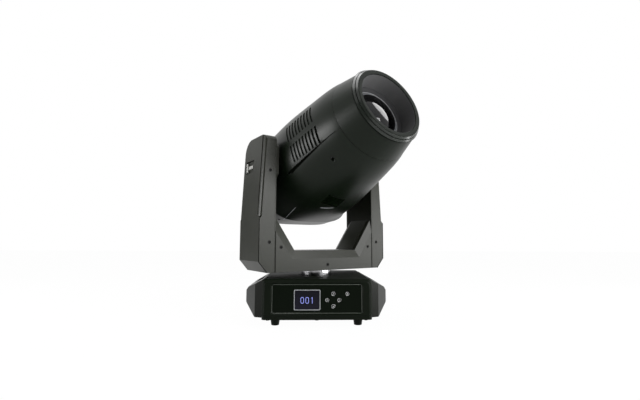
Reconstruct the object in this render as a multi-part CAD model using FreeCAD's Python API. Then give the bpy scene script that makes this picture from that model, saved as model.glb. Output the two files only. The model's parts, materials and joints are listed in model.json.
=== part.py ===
"""Moving head stage light: base with control panel, U-shaped yoke and tilting optical head.

Row frame, millimetres: the origin is on the pan axis in the plane of the base's underside, +Z is up
and the control panel faces -Y.  Base pieces are built in that frame.  Yoke pieces are built with the
arms on the X axis and turned by PAN_REST.  Head pieces are built around the head's own axis, which
runs along -Y through the tilt axis, and are raised by TILT_REST and then turned with the yoke.
"""
import FreeCAD, Part
import math
import os

V = FreeCAD.Vector
X_AXIS, Y_AXIS, Z_AXIS = V(1, 0, 0), V(0, 1, 0), V(0, 0, 1)

# ---- pose at rest (degrees) --------------------------------------------------------------
PAN_REST = 32.4            # yoke turned anticlockwise, seen from above
TILT_REST = 19.5           # front of the head raised above level

# ---- common walls, gaps and fasteners ----------------------------------------------------
WALL = 3.0                 # moulded covers
SHEET = 2.5                # sheet metal
RUN_FIT = 0.05             # radial clearance of a bearing or a guide rod
MOVE_GAP = 0.3             # clearance of any other moving pair
SCREW_HEAD_R = 4.1
SCREW_HEAD_H = 3.0
SCREW_SHANK_R = 2.0
SCREW_SHANK_L = 6.0
SCREW_GAP = 0.2            # around a screw's head and shank
SCREW_SUNK = 1.5           # screw heads sit this far below the surface
BOSS_R = 6.5               # screw bosses inside the covers
BOSS_SEAT = 3.0            # material of the boss under the screw's head
HEX_R = 1.9
HEX_DEPTH = 2.0

# ---- base --------------------------------------------------------------------------------
BASE_HALF_W = 131.0
BASE_HALF_D = 142.0
BASE_H = 94.0
TRAY_H = 9.0               # the joint between tray and cover
BASE_CORNER_R = 10.0
BASE_TOP_R = 9.0
FOOT_H = 19.0
FOOT_INSET_X = 30.0        # foot centres, in from the base's sides
FOOT_INSET_Y = 40.0        # foot centres, in from its front and rear
FOOT_TOP_R = 12.0
FOOT_TIP_R = 9.5
FOOT_EDGE_R = 1.5
FOOT_STEM_R = 3.0
FOOT_STEM_H = 6.0

BEZEL_INSET = 6.0          # in from the base's sides and top
BEZEL_BOTTOM = 9.0
BEZEL_PROUD = 2.5
BEZEL_LIP_R = 1.5
BEZEL_FLANGE_SIDE = 5.0    # the rear flange stays inside the frame's edges: at the sides,
BEZEL_FLANGE_LOW = 3.0     # at the bottom
BEZEL_FLANGE_HIGH = 4.0    # and at the top
BEZEL_CORNER_R = 8.0
BEZEL_SLOPE = 4.0          # depth of the slope between the frame and the panel
BEZEL_SLOPE_W = 3.2
BEZEL_SIDE = 19.0          # width of the frame at the panel's two sides
BEZEL_RAIL = 6.5           # width of the frame above and below the panel
PANEL_T = 2.0
PANEL_CORNER_R = 4.0

DISPLAY_X = -23.4
DISPLAY_Z = 46.0
DISPLAY_W = 62.0
DISPLAY_H = 47.0
DISPLAY_R = 2.5
DISPLAY_PROUD = 0.8

BUTTON_R = 4.5
BUTTON_GAP = 0.3
BUTTON_PROUD = 1.4
BUTTON_TRAVEL = 1.0
BUTTON_EDGE_R = 0.5
BUTTON_FLANGE = 1.5        # the collar is this much larger than the cap, in radius
BUTTON_COLLAR_T = 1.0
BUTTON_PAD_X = 38.4        # centre of the cross of four
BUTTON_PAD_Z = 45.7
BUTTON_PITCH = 14.4
ENTER_X = 71.6
BOARD_T = 1.6
SWITCH_R = 2.5
BOARD_GAP = 8.0            # from the panel's back to the board
BOARD_MARGIN_X = 4.0       # the board stays inside the panel's edges
BOARD_MARGIN_Z = 3.0
BOARD_POST_R = 3.0
BOARD_POST_IN = 5.0        # post centres, in from the board's edges
MODULE_MARGIN = 3.0        # the display module reaches past the window

HANDLE_OUT = 49.0          # reach out from the base's side
HANDLE_END_INSET = 20.0    # ends, in from the base's front and rear
HANDLE_FLAT_HALF = 60.0    # half-length of the flat outer face
HANDLE_SHOULDER_OUT = 19.0
HANDLE_SHOULDER_IN = 8.0
HANDLE_BAR = 20.0          # grip, outside the finger slot
HANDLE_ROOT = 7.0          # wall between the base's side and the finger slot
HANDLE_SLOT_END = 2.0      # the slot ends this far inside the flat outer face
HANDLE_SLOT_R = 9.0
HANDLE_TOP_DROP = 3.0      # top edge, below the base's top
HANDLE_BOTTOM = 1.5
HANDLE_SLOPE_DROP = 22.0   # fall of the sloping top, towards the outer face
HANDLE_FACET_W = 8.0       # facet between the sloping top and the outer face
HANDLE_FACET_H = 11.0
HANDLE_LOW_OUT = 31.0      # height of the outer end of the sloping underside
HANDLE_LOW_IN = 29.0       # the underside runs in this far from the outer face
HANDLE_SOFT_R = 7.0
HANDLE_END_R = 28.0        # plan corners of the outer face

SOCKET_W = 26.0            # flange of a panel connector
SOCKET_H = 31.0
SOCKET_FLANGE = 2.0
SOCKET_CORNER_R = 3.0
SOCKET_GAP = 0.2           # between a socket's body and its hole in the rear panel
SOCKET_BODY_R = 11.8
SOCKET_DEPTH = 22.0
SOCKET_CUP_R = 9.0
SOCKET_CUP_DEPTH = 3.5
SOCKET_PIN_R = 1.2
SOCKET_PIN_RING_R = 4.5
SOCKET_PITCH = 32.0
SOCKET_ROW_LOW = 30.0
SOCKET_ROW_HIGH = 64.0
POWER_INSET = 39.0         # the first power connector, in from the base's side
SIGNAL_INSET = 40.0        # the last signal connectors, in from the other side
POWER_PINS = 3
SIGNAL_PINS = 5
REAR_PANEL_INSET = 13.0    # in from the base's sides
REAR_PANEL_EDGE = 11.0     # in from the base's underside and top

BASE_SCREW_INSET = 14.0
BRACKET_X = 140.0          # spacing of the clamp bracket's quarter-turn sockets
BRACKET_Y = 106.0
BRACKET_HOLE_R = 5.0
BRACKET_SOCKET_R = 13.0
EYE_DROP = 15.0
EYE_R = 6.0
EYE_AXIS_DROP = 8.0        # centre of the eye's hole below the underside
EYE_T = 4.0
EYE_HALF_W = 14.0
EYE_TAPER = 5.0
EYE_CORNER_R = 3.0

SUPPLY_W = 84.0
SUPPLY_D = 170.0
SUPPLY_H = 42.0
SUPPLY_GAP = 10.0          # between the power supply and the base's side wall
SUPPLY_Y = 4.0
VENT_PITCH = 12.0
VENT_W = 5.0
VENT_DEPTH = 2.0
VENT_MARGIN = 8.0
MOTOR_CORNER_R = 4.5
MOTOR_CAP_T = 9.5          # square end caps of a stepper motor
MOTOR_CORE_EXTRA = 4.0     # the round core is this much larger than half the side
MOTOR_BOSS_T = 1.6
PAN_MOTOR_SIDE = 56.0
PAN_MOTOR_H = 52.0
PAN_MOTOR_BOSS_R = 17.0
PAN_MOTOR_AT = (76.0, 62.0)

# ---- pan drive ---------------------------------------------------------------------------
NECK_R = 40.0
NECK_BORE_R = 28.0
NECK_GAP = 3.0             # between the neck and the hole in the base cover
PAN_BEARING_R = 54.0
PAN_BEARING_H = 11.0
PAN_BEARING_LIP = 4.0
PAN_PULLEY_R = 60.0
PAN_MOTOR_PULLEY_R = 10.0
PULLEY_FLANGE = 2.0        # flanges stand above the belt track
BELT_W = 8.0
BELT_T = 1.6
BELT_PLAY = 0.5            # between the belt and a pulley's flange
PULLEY_SIDE = 1.2          # flange thickness
NECK_BELOW_PULLEY = 4.0
MOTOR_SHAFT_R = 4.0

# ---- yoke --------------------------------------------------------------------------------
YOKE_GAP = 14.0            # between base cover and yoke
YOKE_HALF_D = 55.0
ARM_REAR = 60.5            # the arms stand out behind the crossbar
ARM_INNER = 154.0
ARM_LOW_OUTER = 198.0
ARM_FRONT_STEP = (7.0, 192.0, 180.0)    # above the step, front strip: rise, outer low and at the top
ARM_SIDE_STEP = (2.5, 196.8, 186.0)     # the side behind it
ARM_CHAMFER_IN = 23.0      # bottom chamfer, inward and upward
ARM_CHAMFER_UP = 27.0
ARM_STEP_Z = 236.0
ARM_TOP_ABOVE_TILT = 61.0
ARM_FRONT_TOP_R = 16.0
ARM_REAR_TOP_R = 36.0
ARM_CHANNEL_BACK = 15.5    # the side starts this far behind the front face
ARM_CHANNEL_RISE = 12.0    # height over which the channel between them opens
ARM_BEAD_START = 1.2       # rounded bead in the channel, back from the front face
ARM_BEAD_END = 13.0
ARM_BEAD_OUT = 4.5
ARM_BEAD_STEPS = 9
TILT_ABOVE_YOKE = 277.0    # tilt axis above the yoke's underside
CROSSBAR_FRONT_RISE = 31.5
CROSSBAR_FRONT_HALF = 107.5
GUSSET_RISE = 69.0
BEVEL = 20.0               # width of the bevel around the opening, in the front view
BEVEL_REAR = 15.0          # and in the rear view
BEVEL_DEPTH = 6.0
LINER_HALF_D = 36.0
LINER_CHAMFER = 7.0
LINER_EDGE_T = 0.3         # what the chamfer leaves of the liner's edge
FRAME_T = 5.0
FRAME_HALF_D = 32.0
FRAME_CROWN = 8.0          # metal around each tilt bearing
FRAME_GAP = 1.0            # between the frame and the arm's inner plate
FRAME_SEAT_T = 4.0         # flange on top of the neck
NECK_FLANGE_R = 50.0
ARM_CABLE_SLOT = 72.0      # height of the pass-through between crossbar and arm
CROSSBAR_SCREW_UP = 14.5
YOKE_SCREWS = ((171.0, 73.0), (139.0, 60.5), (171.0, 248.0))   # sideways, up from the underside

HUB_R = 25.0
HUB_BORE_R = 16.0
HUB_FLANGE_R = 44.0
HUB_FLANGE_T = 8.0
HUB_HOLE_R = 30.0
COLLAR_R = 62.0            # round boss on the arm's inner side, around the hub
COLLAR_H = 8.0
TILT_BEARING_R = 33.0
TILT_PULLEY_R = 40.0
TILT_MOTOR_PULLEY_R = 8.0
TILT_MOTOR_SIDE = 42.0
TILT_MOTOR_L = 44.0
TILT_MOTOR_BOSS_R = 11.0
TILT_MOTOR_UP = 46.0       # motor axis above the yoke's underside
LOCK_Y = 25.5
LOCK_DOWN = 12.0           # lock recess centre below the tilt axis
LOCK_HALF_L = 24.0
LOCK_HALF_H = 16.0
LOCK_DEPTH = 5.5
LOCK_TRAVEL = 12.0
LOCK_BAR_H = 8.0
LOCK_GRIP_H = 24.0
LOCK_GRIP_L = 8.0
LOCK_CORNER_R = 3.0
LOCK_T = 2.5
LOCK_GRIP_T = 4.5
LOCK_DISC_R = 44.0
LOCK_DISC_T = 4.0
LOCK_PIN_HOLE_R = 3.5
LOCK_PIN_RING_R = 36.0
LOCK_PIN_HOLES = 8

# ---- head --------------------------------------------------------------------------------
# Stations along the axis: distance ahead of the tilt axis, half-width, half-height, squareness
# (2 is an ellipse, larger is closer to a rectangle).
HEAD_STATIONS = (
    (-165.0, 122.0, 96.0, 4.5),
    (-155.0, 130.0, 105.0, 4.5),
    (-130.0, 134.5, 116.0, 4.2),
    (-70.0, 139.5, 132.0, 3.4),
    (0.0, 140.0, 140.0, 2.3),
    (60.0, 139.5, 139.5, 2.1),
    (120.0, 133.5, 133.5, 2.0),
    (180.0, 124.5, 124.5, 2.0),
    (245.0, 110.0, 110.0, 2.0),
)
REAR_CAP_STATIONS = 3      # the first stations belong to the rear cap
CREASE_STATION = 3         # the shell is straight from the cap to here, then rounded
SECTION_POINTS = 40
SEAM_GAP = 0.4
SHELL_FRONT_R = 94.6
RIM_S = 298.0
RIM_BACK_R = 95.5
CREST_S = 301.0            # widest place of the rim
CREST_R = 96.2
FRONT_S = 312.3
FRONT_R = 87.3
RIM_LAND = (2.0, 10.0)     # flat face of the rim, in from its front edge: start, end
RIM_LAND_SUNK = 1.0        # its inner edge lies this far back
RIM_LINE_AT = 0.45         # fine line around the rim's slope, share of the way to the front
RIM_LINE_W = 1.4
RIM_LINE_DEPTH = 0.9
CONE_BACK_R = 73.5
LENS_SEAT_S = 268.0
LENS_R = 64.5
LENS_CROWN = 13.0
LENS_EDGE_T = 7.0
LENS_GAP = 0.1
LENS_LIP = 3.0             # the retainer's lip behind the lens
RETAINER_T = 3.0
RETAINER_STEP = 6.0
RETAINER_CLEAR = 2.0       # between the step's edge and the lens
SLIT_Z = -55.0             # side slit, at SLIT_START, below the head's axis
SLIT_START = 55.0
SLIT_BACK = 5.0            # run over which the slit opens, behind its widest place
SLIT_RISE = 0.067
SLIT_OPEN = 4.5
SLIT_END = 236.0
LOUVRE_COUNT = 9
LOUVRE_S = 89.0
LOUVRE_PITCH = 11.4
LOUVRE_W = 6.2
LOUVRE_ROWS = ((10.0, 64.0, -15.5), (-46.0, -4.0, 4.5))   # bottom, top, lean of the top
HEAD_SCREW_S = 185.0
HEAD_SCREW_SIDE = 90.0
HEAD_SCREW_S_REAR = -95.0
REAR_GRILLE_SLOTS = 9
REAR_GRILLE_PITCH = 12.0
REAR_GRILLE_W = 7.0
REAR_GRILLE_R = 58.0
REAR_GRILLE_SHORTEST = 10.0
REAR_GRILLE_WEB = 6.0      # upright bar between the left and the right slots

CHASSIS_X = 118.0
CHASSIS_T = 4.0
CHASSIS_HALF_H = 38.0
BULKHEAD_T = 3.0
REAR_BULKHEAD_S = -70.0
SEAT_GAP = 0.55            # between the covers and the plates that carry them
BULKHEADS = ((22.0, 60.0, 40.0), (96.0, 44.0, 34.0))      # place, half-height, hole radius
FRONT_RING_S = 238.0
GUIDE_X = 70.0
GUIDE_Z = 46.0
GUIDE_R = 4.0
ENGINE_R = 52.0
ENGINE_L = 40.0
BARREL_R = 36.0
BARREL_PAST = 6.0          # the barrel reaches past the middle bulkhead
LAMP_BACK_T = 12.0
SINK_HALF_W = 92.0
SINK_HALF_H = 70.0
SINK_L = 46.0
SINK_BASE_T = 8.0
FIN_T = 2.0
FIN_COUNT = 15
FAN_HALF = 60.0
FAN_T = 25.0
FAN_RING_R = 56.0
FAN_BLADE_R = 54.0
FAN_HUB_R = 20.0
FAN_PIN_R = 4.0
FAN_BLADES = 7
FAN_BLADE_T = 2.4
FAN_BLADE_LEAN = 38.0
FAN_BLADE_INSET = 2.0      # blades stop short of the hub's ends
FAN_FRONT_GAP = 3.0        # rotor and pin stop short of the fan's front
FAN_CORNER_R = 5.0
FAN_STRUT_W = 6.0
FAN_STRUT_T = 4.0
WHEEL_R = 60.0
WHEEL_T = 1.6
WHEEL_OFFSET = 44.0
WHEEL_HUB_R = 9.0
WHEEL_HUB_L = 6.0
WHEEL_HOLE_R = 12.0
WHEEL_HOLES = 7
COLOUR_S = 52.0
GOBO_S = 66.0
WHEEL_MOTOR_R = 17.0
WHEEL_MOTOR_L = 20.0
WHEEL_MOTOR_SHIFT = 16.0   # the motor stands this far outside its wheel's centre
WHEEL_ARM_R = 6.0
WHEEL_ARM_T = 4.0
WHEEL_SHAFT_PAST = 1.0
CARRIAGE_T = 5.0
CARRIAGE_MARGIN = 12.0
CARRIAGE_RING_R = 50.0
CARRIAGE_CORNER_R = 8.0
ZOOM_S = 144.0
FOCUS_S = 200.0
INNER_LENS_R = 42.0
INNER_LENS_T = 9.0
INNER_LENS_CROWN = 2.0
FAR = 500.0                # reach of the blocks that cut or trim

# ---- derived levels ----------------------------------------------------------------------
YOKE_BOTTOM = BASE_H + YOKE_GAP
TILT_Z = YOKE_BOTTOM + TILT_ABOVE_YOKE
ARM_TOP = TILT_Z + ARM_TOP_ABOVE_TILT
CROSSBAR_FRONT_TOP = YOKE_BOTTOM + CROSSBAR_FRONT_RISE
FRAME_BOTTOM = YOKE_BOTTOM + WALL + FRAME_SEAT_T
BASE_FRONT = -BASE_HALF_D
FOOT_X = BASE_HALF_W - FOOT_INSET_X
FOOT_Y = BASE_HALF_D - FOOT_INSET_Y
BEZEL_HALF_W = BASE_HALF_W - BEZEL_INSET
BEZEL_TOP = BASE_H - BEZEL_INSET
HANDLE_REACH = BASE_HALF_W + HANDLE_OUT
HANDLE_END_Y = BASE_HALF_D - HANDLE_END_INSET
HANDLE_TOP = BASE_H - HANDLE_TOP_DROP
REAR_FACE = BASE_HALF_D - WALL + PANEL_T
SUPPLY_X = SUPPLY_W / 2 + SUPPLY_GAP + WALL - BASE_HALF_W
PANEL_FRONT = BASE_FRONT - BEZEL_PROUD + BEZEL_SLOPE
PANEL_HALF_W = BEZEL_HALF_W - BEZEL_SIDE
PANEL_LOW = BEZEL_BOTTOM + BEZEL_RAIL
PANEL_HIGH = BEZEL_TOP - BEZEL_RAIL
BOARD_FRONT = PANEL_FRONT + PANEL_T + BOARD_GAP
BEARING_TOP = BASE_H - WALL
BEARING_LOW = BEARING_TOP - PAN_BEARING_H
PULLEY_H = BELT_W + 2 * PULLEY_SIDE + 2 * BELT_PLAY
PAN_PULLEY_TOP = BEARING_LOW - MOVE_GAP
PAN_PULLEY_LOW = PAN_PULLEY_TOP - PULLEY_H
FRAME_X = ARM_INNER + WALL + FRAME_GAP
TILT_PULLEY_X = FRAME_X + FRAME_T + FRAME_GAP
LENS_BACK = LENS_SEAT_S - RETAINER_T - LENS_EDGE_T
LENS_LIP_R = LENS_R - LENS_LIP


# ---- shape helpers -----------------------------------------------------------------------
def box(x0, x1, y0, y1, z0, z1):
    return Part.makeBox(x1 - x0, y1 - y0, z1 - z0, V(x0, y0, z0))


def rod(radius, low, high, axis="z", at=(0.0, 0.0)):
    """Cylinder along an axis, from low to high; at gives the other two coordinates in order."""
    if axis == "x":
        return Part.makeCylinder(radius, high - low, V(low, at[0], at[1]), X_AXIS)
    if axis == "y":
        return Part.makeCylinder(radius, high - low, V(at[0], low, at[1]), Y_AXIS)
    return Part.makeCylinder(radius, high - low, V(at[0], at[1], low), Z_AXIS)


def ring(outer, inner, low, high, axis="z", at=(0.0, 0.0)):
    return rod(outer, low, high, axis, at).cut(rod(inner, low, high, axis, at))


def polygon(points):
    return Part.Face(Part.makePolygon(points + points[:1]))


def prism_x(points, x0, x1):
    return polygon([V(x0, y, z) for y, z in points]).extrude(V(x1 - x0, 0, 0))


def prism_y(points, y0, y1):
    return polygon([V(x, y0, z) for x, z in points]).extrude(V(0, y1 - y0, 0))


def prism_z(points, z0, z1):
    return polygon([V(x, y, z0) for x, y in points]).extrude(V(0, 0, z1 - z0))


def soften(shape, radius, direction, keep=None):
    """Round the straight edges that run along a direction and pass an optional test."""
    chosen = []
    for edge in shape.Edges:
        if len(edge.Vertexes) != 2:
            continue
        run = edge.Vertexes[1].Point - edge.Vertexes[0].Point
        if run.Length < 1e-6 or abs(abs(run.normalize().dot(direction)) - 1) > 1e-6:
            continue
        if keep is None or keep(edge.CenterOfMass):
            chosen.append(edge)
    return shape.makeFillet(radius, chosen)


def join(shapes):
    shapes = list(shapes)
    whole = shapes[0].multiFuse(shapes[1:]) if len(shapes) > 1 else shapes[0]
    return whole.removeSplitter()


def cut(shape, tools):
    return shape.cut(list(tools))


def mirror_x(shape):
    return shape.mirror(V(0, 0, 0), X_AXIS)


def mirror_y(shape):
    return shape.mirror(V(0, 0, 0), Y_AXIS)


def on_yoke(shape):
    return shape.rotated(V(0, 0, 0), Z_AXIS, PAN_REST)


def on_head(shape):
    return on_yoke(shape.rotated(V(0, 0, 0), X_AXIS, -TILT_REST).translated(V(0, 0, TILT_Z)))


# ---- fasteners ---------------------------------------------------------------------------
def screw():
    """Socket-head screw along +Y: its head's face is at y = 0."""
    hexagon = [(HEX_R * math.cos(math.radians(60 * i)), HEX_R * math.sin(math.radians(60 * i)))
               for i in range(6)]
    head = rod(SCREW_HEAD_R, 0, SCREW_HEAD_H, "y")
    shank = rod(SCREW_SHANK_R, 0, SCREW_HEAD_H + SCREW_SHANK_L, "y")
    return join([head, shank]).cut(prism_y(hexagon, -1.0, HEX_DEPTH))


def screw_bore():
    """Stepped hole for a sunk screw, into a surface at y = 0."""
    seat = SCREW_SUNK + SCREW_HEAD_H
    outside = -2 * BOSS_R
    return join([rod(SCREW_HEAD_R + SCREW_GAP, outside, seat, "y"),
                 rod(SCREW_SHANK_R + SCREW_GAP, outside, seat + SCREW_SHANK_L, "y")])


def screw_boss():
    """Boss behind a surface at y = 0, as deep as the screw needs."""
    return rod(BOSS_R, WALL / 2, SCREW_SUNK + SCREW_HEAD_H + BOSS_SEAT, "y")


def yoke_screw_places():
    """Front-view places (x, z) of the screws in one face of the yoke."""
    places = [(0.0, YOKE_BOTTOM + CROSSBAR_SCREW_UP)]
    for x, rise in YOKE_SCREWS:
        places += [(x, YOKE_BOTTOM + rise), (-x, YOKE_BOTTOM + rise)]
    return places


def yoke_face(x, face):
    """Front (-1) or rear (1) face of the yoke at a distance from its middle."""
    return ARM_REAR if face > 0 and abs(x) > ARM_INNER else face * YOKE_HALF_D


def with_yoke_screws(shell, low_x, high_x, faces):
    """Add the bosses and bores of the screws that lie between two x values."""
    bosses, bores = [], []
    for x, z in yoke_screw_places():
        if not low_x < x < high_x:
            continue
        for face in faces:
            at = V(x, yoke_face(x, face), z)
            boss, bore = screw_boss(), screw_bore()
            if face > 0:
                boss, bore = mirror_y(boss), mirror_y(bore)
            bosses.append(boss.translated(at))
            bores.append(bore.translated(at))
    return cut(join([shell] + bosses), bores)


# ---- base --------------------------------------------------------------------------------
def base_outer():
    body = box(-BASE_HALF_W, BASE_HALF_W, -BASE_HALF_D, BASE_HALF_D, 0, BASE_H)
    body = soften(body, BASE_CORNER_R, Z_AXIS)
    rim = [e for e in body.Edges if abs(e.CenterOfMass.z - BASE_H) < 1e-6]
    return body.makeFillet(BASE_TOP_R, rim)


def base_inner():
    body = box(-BASE_HALF_W + WALL, BASE_HALF_W - WALL, -BASE_HALF_D + WALL, BASE_HALF_D - WALL,
               SHEET, BASE_H - WALL)
    body = soften(body, BASE_CORNER_R - WALL, Z_AXIS)
    rim = [e for e in body.Edges if abs(e.CenterOfMass.z - BASE_H + WALL) < 1e-6]
    return body.makeFillet(BASE_TOP_R - WALL, rim)


def bezel_seat():
    """Block through the front wall that the bezel's rear flange fills."""
    half = BEZEL_HALF_W - BEZEL_FLANGE_SIDE
    seat = box(-half, half, BASE_FRONT - 1, BASE_FRONT + WALL + 1,
               BEZEL_BOTTOM + BEZEL_FLANGE_LOW, BEZEL_TOP - BEZEL_FLANGE_HIGH)
    return soften(seat, PANEL_CORNER_R, Y_AXIS)


def rear_seat():
    return rear_plate(BASE_HALF_D - WALL - 1, BASE_HALF_D + 1)


def rear_plate(y0, y1):
    half = BASE_HALF_W - REAR_PANEL_INSET
    plate = box(-half, half, y0, y1, REAR_PANEL_EDGE, BASE_H - REAR_PANEL_EDGE)
    return soften(plate, PANEL_CORNER_R, Y_AXIS)


def base_tray():
    slab = box(-FAR, FAR, -FAR, FAR, -1, TRAY_H)
    tray = base_outer().cut(base_inner()).common(slab)
    sockets = [rod(BRACKET_SOCKET_R, -1, SHEET + 1, "z", at) for at in bracket_places()]
    stems = [rod(FOOT_STEM_R + SCREW_GAP, -1, SHEET + 1, "z", at) for at in foot_places()]
    screws = [rod(SCREW_SHANK_R + SCREW_GAP, -1, SHEET + 1, "z", at) for at in base_screw_places()]
    return cut(tray, sockets + stems + screws)


def base_cover():
    slab = box(-FAR, FAR, -FAR, FAR, TRAY_H, BASE_H + 1)
    cover = base_outer().cut(base_inner()).common(slab)
    neck = rod(NECK_R + NECK_GAP, BASE_H - 2 * WALL, BASE_H + 1)
    return cut(cover, [bezel_seat(), rear_seat(), neck])


def front_bezel():
    front = BASE_FRONT - BEZEL_PROUD
    frame = box(-BEZEL_HALF_W, BEZEL_HALF_W, front, BASE_FRONT, BEZEL_BOTTOM, BEZEL_TOP)
    frame = soften(frame, BEZEL_CORNER_R, Y_AXIS)
    lip = [e for e in frame.Edges if abs(e.CenterOfMass.y - front) < 1e-6]
    frame = frame.makeFillet(BEZEL_LIP_R, lip)
    flange = bezel_seat().common(box(-FAR, FAR, front + BEZEL_LIP_R, BASE_FRONT + WALL, -FAR, FAR))
    mouth = panel_block(front - 1, BASE_FRONT + WALL + 1, 0.0)
    frame = join([frame, flange]).cut(mouth)
    # the sunken slope leads from the frame's face down to the panel
    outer = panel_wire(front - 0.01, BEZEL_SLOPE_W)
    inner = panel_wire(PANEL_FRONT + 0.01, 0.0)
    return frame.cut(Part.makeLoft([outer, inner], True, True))


def panel_block(y0, y1, grow):
    block = box(-PANEL_HALF_W - grow, PANEL_HALF_W + grow, y0, y1, PANEL_LOW - grow, PANEL_HIGH + grow)
    return soften(block, PANEL_CORNER_R + grow, Y_AXIS)


def panel_wire(y, grow):
    block = panel_block(y, y + 1.0, grow)
    face = min(block.Faces, key=lambda f: f.CenterOfMass.y)
    return face.OuterWire


def front_panel():
    panel = panel_block(PANEL_FRONT, PANEL_FRONT + PANEL_T, 0.0)
    window = display_block(PANEL_FRONT - 1, PANEL_FRONT + PANEL_T + 1)
    holes = [rod(BUTTON_R + BUTTON_GAP, PANEL_FRONT - 1, PANEL_FRONT + PANEL_T + 1, "y", at)
             for at in button_places().values()]
    return cut(panel, [window] + holes)


def display_block(y0, y1):
    block = box(DISPLAY_X - DISPLAY_W / 2, DISPLAY_X + DISPLAY_W / 2, y0, y1,
                DISPLAY_Z - DISPLAY_H / 2, DISPLAY_Z + DISPLAY_H / 2)
    return soften(block, DISPLAY_R, Y_AXIS)


def display_window():
    return display_block(PANEL_FRONT - DISPLAY_PROUD, PANEL_FRONT + PANEL_T)


def button_places():
    x, z, pitch = BUTTON_PAD_X, BUTTON_PAD_Z, BUTTON_PITCH
    return {"up": (x, z + pitch), "down": (x, z - pitch), "left": (x - pitch, z),
            "right": (x + pitch, z), "enter": (ENTER_X, z + pitch)}


def menu_button(at):
    back = PANEL_FRONT + PANEL_T + MOVE_GAP
    cap = rod(BUTTON_R, PANEL_FRONT - BUTTON_PROUD, back + BUTTON_COLLAR_T, "y", at)
    edge = [e for e in cap.Edges if abs(e.CenterOfMass.y - PANEL_FRONT + BUTTON_PROUD) < 1e-6]
    cap = cap.makeFillet(BUTTON_EDGE_R, edge)
    collar = rod(BUTTON_R + BUTTON_FLANGE, back, back + BUTTON_COLLAR_T, "y", at)
    return join([cap, collar])


def display_board():
    panel_back = PANEL_FRONT + PANEL_T
    half_w = PANEL_HALF_W - BOARD_MARGIN_X
    low, high = PANEL_LOW + BOARD_MARGIN_Z, PANEL_HIGH - BOARD_MARGIN_Z
    board = box(-half_w, half_w, BOARD_FRONT, BOARD_FRONT + BOARD_T, low, high)
    module_w, module_h = DISPLAY_W / 2 + MODULE_MARGIN, DISPLAY_H / 2 + MODULE_MARGIN
    module = box(DISPLAY_X - module_w, DISPLAY_X + module_w, panel_back, BOARD_FRONT,
                 DISPLAY_Z - module_h, DISPLAY_Z + module_h)
    reach = panel_back + MOVE_GAP + BUTTON_COLLAR_T + BUTTON_TRAVEL + MOVE_GAP
    switches = [rod(SWITCH_R, reach, BOARD_FRONT, "y", at) for at in button_places().values()]
    post_x = half_w - BOARD_POST_IN
    posts = [rod(BOARD_POST_R, panel_back, BOARD_FRONT, "y", (x, z))
             for x in (-post_x, post_x) for z in (low + BOARD_POST_IN, high - BOARD_POST_IN)]
    return join([board, module] + switches + posts)


def rear_panel():
    panel = rear_plate(BASE_HALF_D - WALL, REAR_FACE)
    holes = [rod(SOCKET_BODY_R + SOCKET_GAP, BASE_HALF_D - 2 * WALL, BASE_HALF_D + 1, "y", at)
             for at in power_places() + signal_places()]
    return cut(panel, holes)


def power_places():
    first = POWER_INSET - BASE_HALF_W
    return [(first + i * SOCKET_PITCH, SOCKET_ROW_LOW) for i in range(2)]


def signal_places():
    last = BASE_HALF_W - SIGNAL_INSET
    upper = [(last - i * SOCKET_PITCH, SOCKET_ROW_HIGH) for i in range(4)]
    lower = [(last - i * SOCKET_PITCH, SOCKET_ROW_LOW) for i in range(2)]
    return upper + lower


def panel_socket(at, pins):
    """Panel connector that faces +Y: flange, body, cup and contact pins."""
    x, z = at
    face = REAR_FACE
    flange = box(x - SOCKET_W / 2, x + SOCKET_W / 2, face, face + SOCKET_FLANGE,
                 z - SOCKET_H / 2, z + SOCKET_H / 2)
    flange = soften(flange, SOCKET_CORNER_R, Y_AXIS)
    body = rod(SOCKET_BODY_R, face - SOCKET_DEPTH, face, "y", at)
    cup = rod(SOCKET_CUP_R, face + SOCKET_FLANGE - SOCKET_CUP_DEPTH, face + SOCKET_FLANGE + 1, "y", at)
    socket = join([flange, body]).cut(cup)
    turn = 2 * math.pi / pins
    contacts = [rod(SOCKET_PIN_R, face + SOCKET_FLANGE - SOCKET_CUP_DEPTH - 1, face, "y",
                    (x + SOCKET_PIN_RING_R * math.sin(i * turn), z + SOCKET_PIN_RING_R * math.cos(i * turn)))
                for i in range(pins)]
    return join([socket] + contacts)


def handle_block():
    """Solid side pod of the right handle before its finger slot is cut."""
    slope_end = HANDLE_TOP - HANDLE_SLOPE_DROP
    section = [(BASE_HALF_W, HANDLE_TOP), (HANDLE_REACH - HANDLE_FACET_W, slope_end),
               (HANDLE_REACH, slope_end - HANDLE_FACET_H), (HANDLE_REACH, HANDLE_LOW_OUT),
               (HANDLE_REACH - HANDLE_LOW_IN, HANDLE_BOTTOM), (BASE_HALF_W, HANDLE_BOTTOM)]
    shoulder_x = BASE_HALF_W + HANDLE_SHOULDER_OUT
    shoulder_y = HANDLE_END_Y - HANDLE_SHOULDER_IN
    plan = [(BASE_HALF_W, -HANDLE_END_Y), (shoulder_x, -shoulder_y),
            (HANDLE_REACH, -HANDLE_FLAT_HALF), (HANDLE_REACH, HANDLE_FLAT_HALF),
            (shoulder_x, shoulder_y), (BASE_HALF_W, HANDLE_END_Y)]
    along = prism_y(section, -HANDLE_END_Y, HANDLE_END_Y)
    along = soften(along, HANDLE_SOFT_R, Y_AXIS, lambda p: p.x > BASE_HALF_W + 1)
    upright = prism_z(plan, 0, BASE_H)
    upright = soften(upright, HANDLE_END_R, Z_AXIS, lambda p: p.x > HANDLE_REACH - 1)
    return along.common(upright)


def handle_slot():
    half = HANDLE_FLAT_HALF - HANDLE_SLOT_END
    slot = box(BASE_HALF_W + HANDLE_ROOT, HANDLE_REACH - HANDLE_BAR, -half, half, -1, BASE_H + 1)
    return soften(slot, HANDLE_SLOT_R, Z_AXIS)


def right_handle():
    return handle_block().cut(handle_slot())


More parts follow.
